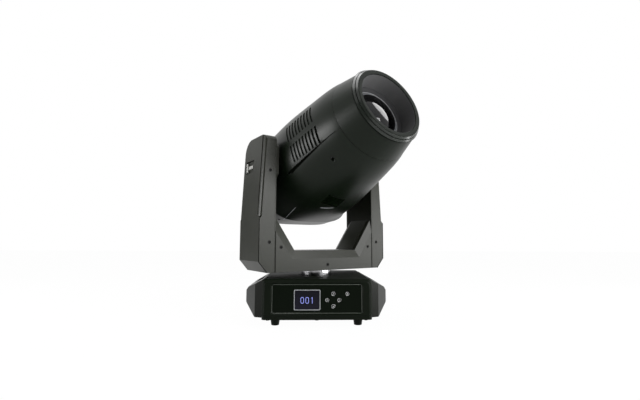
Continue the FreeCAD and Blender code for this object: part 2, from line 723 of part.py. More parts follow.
def foot_places():
    return [(x, y) for x in (-FOOT_X, FOOT_X) for y in (-FOOT_Y, FOOT_Y)]


def rubber_foot(at):
    foot = Part.makeCone(FOOT_TIP_R, FOOT_TOP_R, FOOT_H, V(at[0], at[1], -FOOT_H), Z_AXIS)
    tip = [e for e in foot.Edges if abs(e.CenterOfMass.z + FOOT_H) < 1e-6]
    return join([foot.makeFillet(FOOT_EDGE_R, tip), rod(FOOT_STEM_R, -1, FOOT_STEM_H, "z", at)])


def bracket_places():
    return [(x, y) for x in (-BRACKET_X / 2, BRACKET_X / 2) for y in (-BRACKET_Y / 2, BRACKET_Y / 2)]


def bracket_socket(at):
    """Quarter-turn socket for a clamp bracket, flush with the underside."""
    return ring(BRACKET_SOCKET_R, BRACKET_HOLE_R, 0, SHEET, "z", at)


def safety_eye():
    """Plate with a round eye for the safety cable, under the middle of the base."""
    narrow = EYE_HALF_W - EYE_TAPER
    plate = prism_x([(-EYE_HALF_W, 0), (EYE_HALF_W, 0), (narrow, -EYE_DROP), (-narrow, -EYE_DROP)],
                    -EYE_T / 2, EYE_T / 2)
    plate = soften(plate, EYE_CORNER_R, X_AXIS, lambda p: p.z < -EYE_DROP / 2)
    return plate.cut(rod(EYE_R, -EYE_T, EYE_T, "x", (0.0, -EYE_AXIS_DROP)))


def base_screw_places():
    """Four corners, and the middle of the front edge."""
    x, y = BASE_HALF_W - BASE_SCREW_INSET, BASE_HALF_D - BASE_SCREW_INSET
    return [(-x, -y), (0.0, -y), (x, -y), (-x, y), (x, y)]


def base_screws():
    """Underside screws, heads against the tray."""
    up = screw().rotated(V(0, 0, 0), X_AXIS, 90)
    return [up.translated(V(x, y, -SCREW_HEAD_H)) for x, y in base_screw_places()]


def power_supply():
    x0, x1 = SUPPLY_X - SUPPLY_W / 2, SUPPLY_X + SUPPLY_W / 2
    y0, top = SUPPLY_Y - SUPPLY_D / 2, SHEET + SUPPLY_H
    case = box(x0, x1, y0, y0 + SUPPLY_D, SHEET, top)
    count = int((SUPPLY_D - 2 * VENT_PITCH) // VENT_PITCH)
    starts = [y0 + VENT_PITCH + i * VENT_PITCH for i in range(count)]
    vents = [box(x0 + VENT_MARGIN, x1 - VENT_MARGIN, y, y + VENT_W, top - VENT_DEPTH, top + 1)
             for y in starts]
    return cut(case, vents)


def motor_block(side, length, shaft_length, boss_r):
    """Square stepper motor along +Z: body from 0 to length, then its shaft."""
    half = side / 2
    body = soften(box(-half, half, -half, half, 0, length), MOTOR_CORNER_R, Z_AXIS)
    waist = box(-side, side, -side, side, MOTOR_CAP_T, length - MOTOR_CAP_T)
    core = rod(half + MOTOR_CORE_EXTRA, MOTOR_CAP_T, length - MOTOR_CAP_T)
    body = body.cut(waist.cut(core))
    boss = rod(boss_r, length, length + MOTOR_BOSS_T)
    return join([body, boss, rod(MOTOR_SHAFT_R, length, length + shaft_length)])


def pan_motor():
    shaft = PAN_PULLEY_TOP - 1.0 - SHEET - PAN_MOTOR_H
    motor = motor_block(PAN_MOTOR_SIDE, PAN_MOTOR_H, shaft, PAN_MOTOR_BOSS_R)
    return motor.translated(V(PAN_MOTOR_AT[0], PAN_MOTOR_AT[1], SHEET))


def belt_pulley(radius, bore):
    """Flanged timing pulley along +Z from 0 to PULLEY_H."""
    body = rod(radius, 0, PULLEY_H)
    sides = [ring(radius + PULLEY_FLANGE, radius - 1, z, z + PULLEY_SIDE)
             for z in (0, PULLEY_H - PULLEY_SIDE)]
    return join([body] + sides).cut(rod(bore, -1, PULLEY_H + 1))


def belt_loop(radius_a, radius_b, centre_b):
    """Open belt around two pulleys, in the XY plane, centred on the pulleys' track."""
    low = PULLEY_SIDE + BELT_PLAY
    distance = math.hypot(centre_b[0], centre_b[1])
    heading = math.atan2(centre_b[1], centre_b[0])

    def band(clear, z0, z1):
        a, b = radius_a + clear, radius_b + clear
        lean = math.acos((a - b) / distance)
        corners = []
        for centre, radius, turns in ((0.0, a, (lean, -lean)), (distance, b, (-lean, lean))):
            for angle in turns:
                along = centre + radius * math.cos(angle)
                across = radius * math.sin(angle)
                corners.append((along * math.cos(heading) - across * math.sin(heading),
                                along * math.sin(heading) + across * math.cos(heading)))
        return join([rod(a, z0, z1), rod(b, z0, z1, "z", centre_b), prism_z(corners, z0, z1)])

    return band(MOVE_GAP + BELT_T, low, low + BELT_W).cut(band(MOVE_GAP, low - 1, low + BELT_W + 1))


def pan_belt():
    return belt_loop(PAN_PULLEY_R, PAN_MOTOR_PULLEY_R, PAN_MOTOR_AT).translated(V(0, 0, PAN_PULLEY_LOW))


def pan_bearing():
    track = ring(PAN_BEARING_R, NECK_R + RUN_FIT, BEARING_LOW, BEARING_TOP)
    groove = ring(PAN_BEARING_R - PAN_BEARING_LIP, NECK_R + PAN_BEARING_LIP, BEARING_LOW - 1,
                  BEARING_LOW + 1)
    return track.cut(groove)


# ---- yoke --------------------------------------------------------------------------------
def pan_shaft():
    top = YOKE_BOTTOM + WALL
    low = PAN_PULLEY_LOW - NECK_BELOW_PULLEY
    neck = rod(NECK_R, low, top)
    flange = rod(NECK_FLANGE_R, top, top + FRAME_SEAT_T)
    bore = rod(NECK_BORE_R, low - 1, top + FRAME_SEAT_T + 1)
    return join([neck, flange]).cut(bore)


def opening_outline(grow):
    """Front-view outline of the yoke's window, from the crossbar up to beyond the arms' tops."""
    lean = math.atan2(GUSSET_RISE, ARM_INNER - CROSSBAR_FRONT_HALF)
    floor = CROSSBAR_FRONT_TOP + grow
    corner = CROSSBAR_FRONT_HALF - grow * math.tan(lean / 2)
    meet = floor + (ARM_INNER - corner) * math.tan(lean)
    high = ARM_TOP + BEVEL + 1
    return [(-corner, floor), (corner, floor), (ARM_INNER, meet), (ARM_INNER, high),
            (-ARM_INNER, high), (-ARM_INNER, meet)]


def wire_y(points, y):
    corners = [V(x, y, z) for x, z in points]
    return Part.makePolygon(corners + corners[:1])


def crossbar_core(y0, y1, bevel):
    """Crossbar and gussets between the arms, solid, up to the window's inner outline."""
    slab = box(-ARM_INNER, ARM_INNER, y0, y1, YOKE_BOTTOM, opening_outline(bevel)[2][1])
    return slab.cut(prism_y(opening_outline(bevel), y0 - 1, y1 + 1))


def crossbar_cover(bevel):
    """Front half shell of the crossbar, with the bevel around the window."""
    front = -YOKE_HALF_D
    back = -LINER_HALF_D - LINER_CHAMFER
    shell = crossbar_core(front, 0.0, bevel)
    shell = shell.cut(Part.makeLoft([wire_y(opening_outline(0.0), front - 0.001),
                                     wire_y(opening_outline(bevel), front + BEVEL_DEPTH)], True, True))
    pocket = crossbar_pocket(front + WALL, back)
    behind = box(-ARM_INNER - 1, ARM_INNER + 1, back, 1.0, YOKE_BOTTOM + WALL, ARM_TOP)
    neck = rod(NECK_R + RUN_FIT, YOKE_BOTTOM - 1, YOKE_BOTTOM + WALL + 1)
    return with_yoke_screws(cut(shell, [pocket, behind, neck]), -ARM_INNER, ARM_INNER, (-1.0,))


def crossbar_pocket(y0, y1):
    """Hollow behind the crossbar's face, one wall inside its outline."""
    inner = opening_outline(BEVEL)
    lean = math.atan2(GUSSET_RISE, ARM_INNER - CROSSBAR_FRONT_HALF)
    floor = inner[0][1] - WALL - BEVEL
    corner = inner[1][0] + (WALL + BEVEL) * math.tan(lean / 2)
    top = floor + (ARM_INNER - corner) * math.tan(lean)
    return prism_y([(-ARM_INNER - 1, YOKE_BOTTOM + WALL), (ARM_INNER + 1, YOKE_BOTTOM + WALL),
                    (ARM_INNER + 1, top), (corner, floor), (-corner, floor), (-ARM_INNER - 1, top)],
                   y0, y1)


def crossbar_liner():
    """Trim that closes the window's floor and gussets between the two half shells."""
    inner = opening_outline(BEVEL)
    lean = math.atan2(GUSSET_RISE, ARM_INNER - CROSSBAR_FRONT_HALF)
    drop = WALL
    corner = inner[1][0] + drop * math.tan(lean / 2)
    reach = ARM_INNER
    top = inner[1][1] - drop + (reach - corner) * math.tan(lean)
    band = [inner[0], inner[1], (reach, inner[2][1]), (reach, top), (corner, inner[1][1] - drop),
            (-corner, inner[1][1] - drop), (-reach, top), (-reach, inner[2][1])]
    half = LINER_HALF_D + LINER_CHAMFER
    liner = prism_y(band, -half, half)
    for sign in (-1.0, 1.0):
        slope = Part.makeLoft([wire_y(opening_outline(BEVEL), sign * LINER_HALF_D),
                               wire_y(opening_outline(BEVEL - WALL + LINER_EDGE_T), sign * (half + 0.01))],
                              True, True)
        liner = liner.cut(slope)
    return liner


def arm_outline(step, inset=0.0):
    """Front-view outline of the right arm, moved in by an even wall."""
    low = YOKE_BOTTOM
    rise, above, top = step
    outer = [(ARM_INNER, low), (ARM_LOW_OUTER - ARM_CHAMFER_IN, low),
             (ARM_LOW_OUTER, low + ARM_CHAMFER_UP), (ARM_LOW_OUTER, ARM_STEP_Z),
             (above, ARM_STEP_Z + rise), (top, ARM_TOP), (ARM_INNER, ARM_TOP)]
    if not inset:
        return outer
    face = polygon([V(x, 0, z) for x, z in outer]).makeOffset2D(-inset, join=2)
    return [(v.Point.x, v.Point.z) for v in face.OuterWire.OrderedVertexes]


def arm_surface_x(step, z):
    """Outer surface of the arm at a height above the step."""
    rise, above, top = step
    low = ARM_STEP_Z + rise
    return above + (top - above) * (z - low) / (ARM_TOP - low)


def arm_side_profile(inset=0.0):
    """Side-view block of the arm with its two rounded top corners."""
    block = box(ARM_INNER - 1, ARM_LOW_OUTER + 1, -YOKE_HALF_D + inset, ARM_REAR - inset,
                YOKE_BOTTOM - 1 + inset, ARM_TOP - inset)
    block = soften(block, ARM_FRONT_TOP_R - inset, X_AXIS, lambda p: p.y < 0 and p.z > TILT_Z)
    return soften(block, ARM_REAR_TOP_R - inset, X_AXIS, lambda p: p.y > 0 and p.z > TILT_Z)


def arm_solid(inset=0.0):
    """Right arm.  Above the step its side stands a little proud of its front strip."""
    front, rear = -YOKE_HALF_D, ARM_REAR
    channel = front + ARM_CHANNEL_BACK + inset
    behind = prism_x([(front, YOKE_BOTTOM - 1), (front, ARM_STEP_Z), (channel, ARM_STEP_Z + ARM_CHANNEL_RISE),
                      (channel, ARM_TOP + 1), (rear, ARM_TOP + 1), (rear, YOKE_BOTTOM - 1)],
                     ARM_INNER - 1, ARM_LOW_OUTER + 1)
    strip = prism_y(arm_outline(ARM_FRONT_STEP, inset), front, rear)
    side = prism_y(arm_outline(ARM_SIDE_STEP, inset), front, rear).common(behind)
    return join([strip, side]).common(arm_side_profile(inset))


def arm_bead():
    """Quarter-round bead that fills the front of the channel."""
    start = -YOKE_HALF_D + ARM_BEAD_START
    depth = ARM_BEAD_END - ARM_BEAD_START

    def wire(z):
        face = arm_surface_x(ARM_FRONT_STEP, z)
        turns = [math.pi / 2 * i / ARM_BEAD_STEPS for i in range(ARM_BEAD_STEPS + 1)]
        points = [V(face + ARM_BEAD_OUT * math.sin(t), start + depth * (1 - math.cos(t)), z)
                  for t in turns]
        points += [V(face - WALL / 2, start + depth, z), V(face - WALL / 2, start, z)]
        return Part.makePolygon(points + points[:1])

    low = ARM_STEP_Z + ARM_FRONT_STEP[0]
    return Part.makeLoft([wire(low), wire(ARM_TOP)], True, True).common(arm_side_profile())


def arm_cover():
    """Tub of the right arm: front, side, rear, top and bottom.  Its inner side is open."""
    shell = join([arm_solid().cut(arm_solid(WALL)), arm_bead()])
    inner_side = box(ARM_INNER - 1, ARM_INNER + WALL, -FAR, FAR, 0, ARM_TOP + 1)
    return with_yoke_screws(shell.cut(inner_side), ARM_INNER, FAR, (-1.0, 1.0))


def arm_inner_plate():
    """Plate that closes the right arm's inner side, with the round collar at the hub."""
    plate = arm_solid().common(box(ARM_INNER - 1, ARM_INNER + WALL, -FAR, FAR, 0, ARM_TOP + 1))
    collar = rod(COLLAR_R, ARM_INNER - COLLAR_H, ARM_INNER, "x", (0.0, TILT_Z))
    collar = collar.common(arm_side_profile(WALL).translated(V(-COLLAR_H, 0, 0)))
    low = YOKE_BOTTOM + WALL
    pass_through = box(ARM_INNER - 1, ARM_INNER + WALL + 1, -LINER_HALF_D, LINER_HALF_D,
                       low, low + ARM_CABLE_SLOT)
    hub = rod(HUB_HOLE_R, ARM_INNER - COLLAR_H - 1, ARM_INNER + WALL + 1, "x", (0.0, TILT_Z))
    return cut(join([plate, collar]), [pass_through, hub])


def lock_frame():
    """Centre height and outer surface of the tilt lock's recess."""
    z = TILT_Z - LOCK_DOWN
    return z, arm_surface_x(ARM_SIDE_STEP, z)


def left_arm_cover():
    z, surface = lock_frame()
    recess = box(surface - LOCK_DEPTH, ARM_LOW_OUTER, LOCK_Y - LOCK_HALF_L, LOCK_Y + LOCK_HALF_L,
                 z - LOCK_HALF_H, z + LOCK_HALF_H)
    tub = box(surface - LOCK_DEPTH - WALL, surface - WALL / 2, LOCK_Y - LOCK_HALF_L - WALL,
              LOCK_Y + LOCK_HALF_L + WALL, z - LOCK_HALF_H - WALL, z + LOCK_HALF_H + WALL)
    return mirror_x(join([arm_cover(), tub]).cut(soften(recess, LOCK_CORNER_R, X_AXIS)))


def tilt_lock_slider():
    """Sliding T-shaped latch in the recess.  At rest it stands at the rear and can slide forward."""
    z, surface = lock_frame()
    back = surface - LOCK_DEPTH + MOVE_GAP
    front = LOCK_Y - LOCK_HALF_L + LOCK_TRAVEL + MOVE_GAP
    rear = LOCK_Y + LOCK_HALF_L - MOVE_GAP
    bar = box(back, back + LOCK_T, front, rear, z - LOCK_BAR_H / 2, z + LOCK_BAR_H / 2)
    grip = box(back, back + LOCK_GRIP_T, rear - LOCK_GRIP_L, rear, z - LOCK_GRIP_H / 2,
               z + LOCK_GRIP_H / 2)
    return mirror_x(join([bar, grip]))


def yoke_frame():
    """Metal U that carries the neck, the bearings and the covers."""
    plate = box(-FRAME_X - FRAME_T, FRAME_X + FRAME_T, -FRAME_HALF_D, FRAME_HALF_D,
                FRAME_BOTTOM, FRAME_BOTTOM + FRAME_T)
    uprights = []
    for sign in (-1.0, 1.0):
        low, high = sorted((sign * FRAME_X, sign * (FRAME_X + FRAME_T)))
        upright = box(low, high, -FRAME_HALF_D, FRAME_HALF_D, FRAME_BOTTOM, TILT_Z)
        crown = rod(TILT_BEARING_R + FRAME_CROWN, low, high, "x", (0.0, TILT_Z))
        uprights += [upright, crown]
    bores = [rod(NECK_BORE_R, FRAME_BOTTOM - 1, FRAME_BOTTOM + FRAME_T + 1),
             rod(TILT_BEARING_R + RUN_FIT, -FAR, FAR, "x", (0.0, TILT_Z)),
             rod(TILT_MOTOR_BOSS_R + MOVE_GAP, FRAME_X - 1, FRAME_X + FRAME_T + 1, "x",
                 (0.0, YOKE_BOTTOM + TILT_MOTOR_UP))]
    return cut(join([plate] + uprights), bores)


def tilt_bearing(sign):
    low, high = sorted((sign * FRAME_X, sign * (FRAME_X + FRAME_T)))
    return ring(TILT_BEARING_R, HUB_R + RUN_FIT, low, high, "x", (0.0, TILT_Z))


def yoke_screws():
    """Screws of the yoke covers, front and rear, their heads below the surface."""
    front, rear = screw(), mirror_y(screw())
    return [one.translated(V(x, yoke_face(x, face) - face * SCREW_SUNK, z))
            for one, face in ((front, -1.0), (rear, 1.0)) for x, z in yoke_screw_places()]


def along_x(shape, x, z):
    """Turn a shape built along +Z so that it runs along +X, from x outwards."""
    return shape.rotated(V(0, 0, 0), Y_AXIS, 90).translated(V(x, 0, z))


def tilt_motor():
    shaft = TILT_PULLEY_X - FRAME_X + PULLEY_H - 1.0
    motor = motor_block(TILT_MOTOR_SIDE, TILT_MOTOR_L, shaft, TILT_MOTOR_BOSS_R)
    return along_x(motor, FRAME_X - TILT_MOTOR_L, YOKE_BOTTOM + TILT_MOTOR_UP)


def tilt_motor_pulley():
    pulley = belt_pulley(TILT_MOTOR_PULLEY_R, MOTOR_SHAFT_R + RUN_FIT)
    return along_x(pulley, TILT_PULLEY_X, YOKE_BOTTOM + TILT_MOTOR_UP)


def tilt_belt():
    span = TILT_ABOVE_YOKE - TILT_MOTOR_UP
    loop = belt_loop(TILT_PULLEY_R, TILT_MOTOR_PULLEY_R, (span, 0.0))
    return along_x(loop, TILT_PULLEY_X, TILT_Z)


# ---- head (axis along -Y, s is the distance ahead of the tilt axis) ----------------------
def head_rod(radius, s0, s1, at=(0.0, 0.0)):
    return rod(radius, -s1, -s0, "y", at)


def head_box(x0, x1, s0, s1, z0, z1):
    return box(x0, x1, -s1, -s0, z0, z1)


def head_section(station, inset):
    s, half_w, half_h, square = station
    points = []
    for i in range(SECTION_POINTS):
        angle = 2 * math.pi * i / SECTION_POINTS
        c, n = math.cos(angle), math.sin(angle)
        x = math.copysign((half_w - inset) * abs(c) ** (2 / square), c)
        z = math.copysign((half_h - inset) * abs(n) ** (2 / square), n)
        points.append(V(x, -s, z))
    curve = Part.BSplineCurve()
    curve.interpolate(Points=points, PeriodicFlag=True)
    return Part.Wire([curve.toShape()])


def head_body(stations, inset=0.0):
    return Part.makeLoft([head_section(st, inset) for st in stations], True, False)


def head_shell(end, inset=0.0):
    """Solid of the main shell with a crease around it, longer by an end piece front and rear."""
    rear = HEAD_STATIONS[REAR_CAP_STATIONS - 1:CREASE_STATION + 1]
    front = HEAD_STATIONS[CREASE_STATION:]
    first, last = rear[0], front[-1]
    rear = ((first[0] - end,) + first[1:],) + rear[1:]
    front = front[:-1] + ((last[0] + end,) + last[1:],)
    return join([head_body(rear, inset), head_body(front, inset)])


def head_outer():
    return head_shell(0.0)


def head_inner():
    return head_shell(1.0, WALL)


def slit_height(s):
    return SLIT_Z + SLIT_RISE * (s - SLIT_START)


def above_slit():
    """Block above the side slit."""
    return prism_x([(FAR, slit_height(-FAR)), (-FAR, slit_height(FAR)), (-FAR, FAR), (FAR, FAR)],
                   -FAR, FAR)


def below_slit():
    """Block below the side slit, which is widest at SLIT_START and closes at SLIT_END."""
    def seam(s):
        return (-s, slit_height(s) - SEAM_GAP)

    wide = (-SLIT_START, slit_height(SLIT_START) - SLIT_OPEN)
    return prism_x([seam(-FAR), seam(SLIT_START - SLIT_BACK), wide, seam(SLIT_END), seam(FAR),
                    (-FAR, -FAR), (FAR, -FAR)], -FAR, FAR)


def louvres():
    slots = []
    for low, high, lean in LOUVRE_ROWS:
        for i in range(LOUVRE_COUNT):
            s = LOUVRE_S + i * LOUVRE_PITCH
            slots.append(prism_x([(-s, low), (-s - LOUVRE_W, low), (-s - LOUVRE_W - lean, high),
                                  (-s - lean, high)], HUB_HOLE_R, FAR))
    return slots + [mirror_x(slot) for slot in slots]


def hub_holes():
    hole = rod(HUB_HOLE_R, CHASSIS_X, FAR, "x")
    return [hole, mirror_x(hole)]


def head_top_cover(shell):
    return cut(shell.common(above_slit()), louvres() + hub_holes())


def head_screw_places():
    """Places of the upward screws under the head: (x, s, height of the surface)."""
    return [(x, s, surface_below(s, x)) for s in (HEAD_SCREW_S, HEAD_SCREW_S_REAR)
            for x in (-HEAD_SCREW_SIDE, HEAD_SCREW_SIDE)]


def head_bottom_cover(shell, outer):
    bosses, bores = [], []
    for x, s, surface in head_screw_places():
        boss = screw_boss().rotated(V(0, 0, 0), X_AXIS, 90).translated(V(x, -s, surface))
        low = rod(BOSS_R, surface - 2 * BOSS_R, surface + WALL, "z", (x, -s))
        bosses.append(join([boss, low]).common(outer))
        bores.append(screw_bore().rotated(V(0, 0, 0), X_AXIS, 90).translated(V(x, -s, surface)))
    cover = join([shell.common(below_slit())] + bosses)
    return cut(cover, bores + hub_holes())


def station_at(s):
    """Half-width, half-height and squareness of the head between its stations."""
    for near, far in zip(HEAD_STATIONS, HEAD_STATIONS[1:]):
        if near[0] <= s <= far[0]:
            t = (s - near[0]) / (far[0] - near[0])
            return (s,) + tuple(a + (b - a) * t for a, b in zip(near[1:], far[1:]))
    return HEAD_STATIONS[-1]


def surface_below(s, x):
    """Height of the head's underside at a place."""
    _, half_w, half_h, square = station_at(s)
    return -half_h * (1 - abs(x / half_w) ** square) ** (1 / square)


def head_screws():
    up = screw().rotated(V(0, 0, 0), X_AXIS, 90)
    return [up.translated(V(x, -s, surface + SCREW_SUNK)) for x, s, surface in head_screw_places()]


def revolve_head(points):
    """Solid of revolution about the head's axis from (s, radius) points."""
    face = polygon([V(r, -s, 0) for s, r in points])
    return face.revolve(V(0, 0, 0), Y_AXIS, 360)


def head_front_shell():
    back_s, back_r = HEAD_STATIONS[-1][0] + SEAM_GAP, HEAD_STATIONS[-1][1]
    return revolve_head([(back_s, back_r), (RIM_S, SHELL_FRONT_R), (RIM_S, SHELL_FRONT_R - WALL),
                         (back_s, back_r - WALL)])


def rim_ring():
    """Front rim: crest, slope with a fine line, flat face, and the hood's cone down to the lens."""
    length, fall = FRONT_S - CREST_S, CREST_R - FRONT_R
    run = math.hypot(length, fall)

    def on_slope(along, sunk):
        return (CREST_S + (length * along - fall * sunk) / run,
                CREST_R - (fall * along + length * sunk) / run)

    line = RIM_LINE_AT * run
    slope = [on_slope(line, 0.0), on_slope(line, RIM_LINE_DEPTH),
             on_slope(line + RIM_LINE_W, RIM_LINE_DEPTH), on_slope(line + RIM_LINE_W, 0.0)]
    land_out, land_in = (FRONT_R - part for part in RIM_LAND)
    land_s = FRONT_S - RIM_LAND_SUNK
    back = RIM_S + SEAM_GAP
    return revolve_head([(back, RIM_BACK_R), (CREST_S, CREST_R)] + slope
                        + [(FRONT_S, FRONT_R), (FRONT_S, land_out), (land_s, land_in),
                           (LENS_SEAT_S, CONE_BACK_R), (LENS_SEAT_S, CONE_BACK_R + WALL),
                           (back, land_in + WALL)])


def lens_retainer():
    """Stepped ring between the hood's cone and the lens, carried by the chassis' front ring."""
    back = FRONT_RING_S + BULKHEAD_T
    front = LENS_SEAT_S - SEAM_GAP
    seat = LENS_SEAT_S - RETAINER_T
    return revolve_head([(back, CONE_BACK_R + WALL), (front, CONE_BACK_R + WALL),
                         (front, CONE_BACK_R - RETAINER_STEP), (seat, LENS_R + RETAINER_CLEAR),
                         (seat, LENS_R), (LENS_BACK, LENS_R), (LENS_BACK, LENS_LIP_R),
                         (back, LENS_LIP_R)])


def front_lens():
    """Plano-convex front lens, bulging forward."""
    crown = LENS_SEAT_S - RETAINER_T + LENS_CROWN
    edge = LENS_R - LENS_GAP
    bulge = (edge ** 2 + LENS_CROWN ** 2) / (2 * LENS_CROWN)
    disc = head_rod(edge, LENS_BACK, crown)
    ball = Part.makeSphere(bulge, V(0, bulge - crown, 0))
    return disc.common(ball)


def rear_cap():
    stations = HEAD_STATIONS[:REAR_CAP_STATIONS]
    last = stations[-1]
    stations = stations[:-1] + ((last[0] - SEAM_GAP,) + last[1:],)
    outer = head_body(stations)
    first = stations[0]
    hollow = ((first[0] + WALL,) + first[1:], stations[1], (last[0] + 1.0,) + last[1:])
    cap = outer.cut(head_body(hollow, WALL))
    slots = []
    for i in range(REAR_GRILLE_SLOTS):
        z = (i - (REAR_GRILLE_SLOTS - 1) / 2) * REAR_GRILLE_PITCH
        half = math.sqrt(max(REAR_GRILLE_R ** 2 - z ** 2, REAR_GRILLE_SHORTEST ** 2))
        slot = box(REAR_GRILLE_WEB / 2, half, -stations[1][0], FAR, z - REAR_GRILLE_W / 2,
                   z + REAR_GRILLE_W / 2)
        slots += [slot, mirror_x(slot)]
    return cut(cap, slots)


def cover_seat(s, thick):
    """Plate that fills the covers' inside at a station, less a small gap."""
    smaller = tuple(min(pair) for pair in zip(station_at(s), station_at(s + thick)))
    section = head_section((s,) + smaller[1:], WALL + SEAT_GAP)
    return Part.Face(section).extrude(V(0, -thick, 0))


def head_chassis():
    """Side plates, bulkheads, front ring and guide rods, welded into one frame."""
    s_front = BULKHEADS[-1][0] + BULKHEAD_T
    pieces = [cover_seat(REAR_BULKHEAD_S, BULKHEAD_T), cover_seat(FRONT_RING_S, BULKHEAD_T)]
    for sign in (-1.0, 1.0):
        low, high = sorted((sign * CHASSIS_X, sign * (CHASSIS_X + CHASSIS_T)))
        pieces.append(head_box(low, high, REAR_BULKHEAD_S, s_front, -CHASSIS_HALF_H, CHASSIS_HALF_H))
    holes = [head_rod(LENS_LIP_R, FRONT_RING_S - 1, FRONT_RING_S + BULKHEAD_T + 1)]
    for s, half_h, hole in BULKHEADS:
        pieces.append(head_box(-CHASSIS_X, CHASSIS_X, s, s + BULKHEAD_T, -half_h, half_h))
        holes.append(head_rod(hole, s - 1, s + BULKHEAD_T + 1))
    for x in (-GUIDE_X, GUIDE_X):
        for z in (-GUIDE_Z, GUIDE_Z):
            pieces.append(head_rod(GUIDE_R, BULKHEADS[-1][0], FRONT_RING_S + BULKHEAD_T, (x, z)))
    return cut(join(pieces), holes)


def tilt_hub(end):
    """Tilt hub on +X: flange on the chassis' side plate and a hollow journal."""
    start = CHASSIS_X + CHASSIS_T
    flange = rod(HUB_FLANGE_R, start, start + HUB_FLANGE_T, "x")
    journal = rod(HUB_R, start, end, "x")
    return join([flange, journal]).cut(rod(HUB_BORE_R, start - 1, end + 1, "x"))


def right_tilt_hub():
    """Hub that carries the large belt pulley."""
    pulley = along_x(belt_pulley(TILT_PULLEY_R, HUB_BORE_R), TILT_PULLEY_X, 0.0)
    return join([tilt_hub(TILT_PULLEY_X + PULLEY_H), pulley])


def left_tilt_hub():
    """Hub with the perforated disc that the tilt lock holds."""
    start = TILT_PULLEY_X
    disc = ring(LOCK_DISC_R, HUB_BORE_R, start, start + LOCK_DISC_T, "x")
    turn = 2 * math.pi / LOCK_PIN_HOLES
    holes = [rod(LOCK_PIN_HOLE_R, start - 1, start + LOCK_DISC_T + 1, "x",
                 (LOCK_PIN_RING_R * math.cos(i * turn), LOCK_PIN_RING_R * math.sin(i * turn)))
             for i in range(LOCK_PIN_HOLES)]
    return mirror_x(cut(join([tilt_hub(start + LOCK_DISC_T), disc]), holes))


def light_engine():
    """Lamp housing on the rear bulkhead and the condenser barrel ahead of it."""
    back = REAR_BULKHEAD_S + BULKHEAD_T
    housing = head_rod(ENGINE_R, back, back + ENGINE_L)
    end = BULKHEADS[0][0] + BULKHEAD_T + BARREL_PAST
    barrel = head_rod(BARREL_R, back + ENGINE_L, end)
    bore = head_rod(BARREL_R - WALL, back + LAMP_BACK_T, end + 1)
    return join([housing, barrel]).cut(bore)


def heatsink():
    front = REAR_BULKHEAD_S
    base = head_box(-SINK_HALF_W, SINK_HALF_W, front - SINK_BASE_T, front, -SINK_HALF_H, SINK_HALF_H)
    pitch = (2 * SINK_HALF_W - FIN_T) / (FIN_COUNT - 1)
    fins = [head_box(-SINK_HALF_W + i * pitch, -SINK_HALF_W + i * pitch + FIN_T, front - SINK_L,
                     front - SINK_BASE_T, -SINK_HALF_H, SINK_HALF_H) for i in range(FIN_COUNT)]
    return join([base] + fins)


def fan_place():
    """Front and rear of the fan's frame."""
    front = REAR_BULKHEAD_S - SINK_L
    return front - FAN_T, front


def fan_frame():
    rear, front = fan_place()
    frame = head_box(-FAN_HALF, FAN_HALF, rear, front, -FAN_HALF, FAN_HALF)
    frame = soften(frame, FAN_CORNER_R, Y_AXIS).cut(head_rod(FAN_RING_R, rear - 1, front + 1))
    half_l, half_w = (FAN_RING_R + FAN_HALF) / 2, FAN_STRUT_W / 2
    struts = [head_box(-half_l, half_l, rear, rear + FAN_STRUT_T, -half_w, half_w),
              head_box(-half_w, half_w, rear, rear + FAN_STRUT_T, -half_l, half_l)]
    carrier = head_rod(FAN_HUB_R, rear, rear + FAN_STRUT_T)
    pin = head_rod(FAN_PIN_R, rear, front - FAN_FRONT_GAP)
    return join([frame, carrier, pin] + struts)


def fan_rotor():
    rear, front = fan_place()
    low = rear + FAN_STRUT_T + MOVE_GAP
    high = front - FAN_FRONT_GAP
    hub = head_rod(FAN_HUB_R, low, high)
    blade = head_box(FAN_HUB_R - FAN_BLADE_T, FAN_BLADE_R, low + FAN_BLADE_INSET,
                     high - FAN_BLADE_INSET, -FAN_BLADE_T / 2, FAN_BLADE_T / 2)
    middle = V((FAN_HUB_R + FAN_BLADE_R) / 2, -(low + high) / 2, 0)
    blade = blade.rotated(middle, X_AXIS, FAN_BLADE_LEAN)
    blades = [blade.rotated(V(0, 0, 0), Y_AXIS, i * 360 / FAN_BLADES) for i in range(FAN_BLADES)]
    return join([hub] + blades).cut(head_rod(FAN_PIN_R + RUN_FIT, rear, front))


def wheel(s, side):
    """Filter or pattern wheel beside the axis, with round windows and a centre bore."""
    centre = (side * WHEEL_OFFSET, 0.0)
    disc = head_rod(WHEEL_R, s, s + WHEEL_T, centre)
    hub = head_rod(WHEEL_HUB_R, s, s + WHEEL_HUB_L, centre)
    holes = []
    for i in range(WHEEL_HOLES):
        angle = 2 * math.pi * i / WHEEL_HOLES
        at = (side * WHEEL_OFFSET - side * WHEEL_OFFSET * math.cos(angle), WHEEL_OFFSET * math.sin(angle))
        holes.append(head_rod(WHEEL_HOLE_R, s - 1, s + WHEEL_T + 1, at))
    holes.append(head_rod(MOTOR_SHAFT_R / 2 + RUN_FIT, s - 1, s + WHEEL_HUB_L + 1, centre))
    return cut(join([disc, hub]), holes)


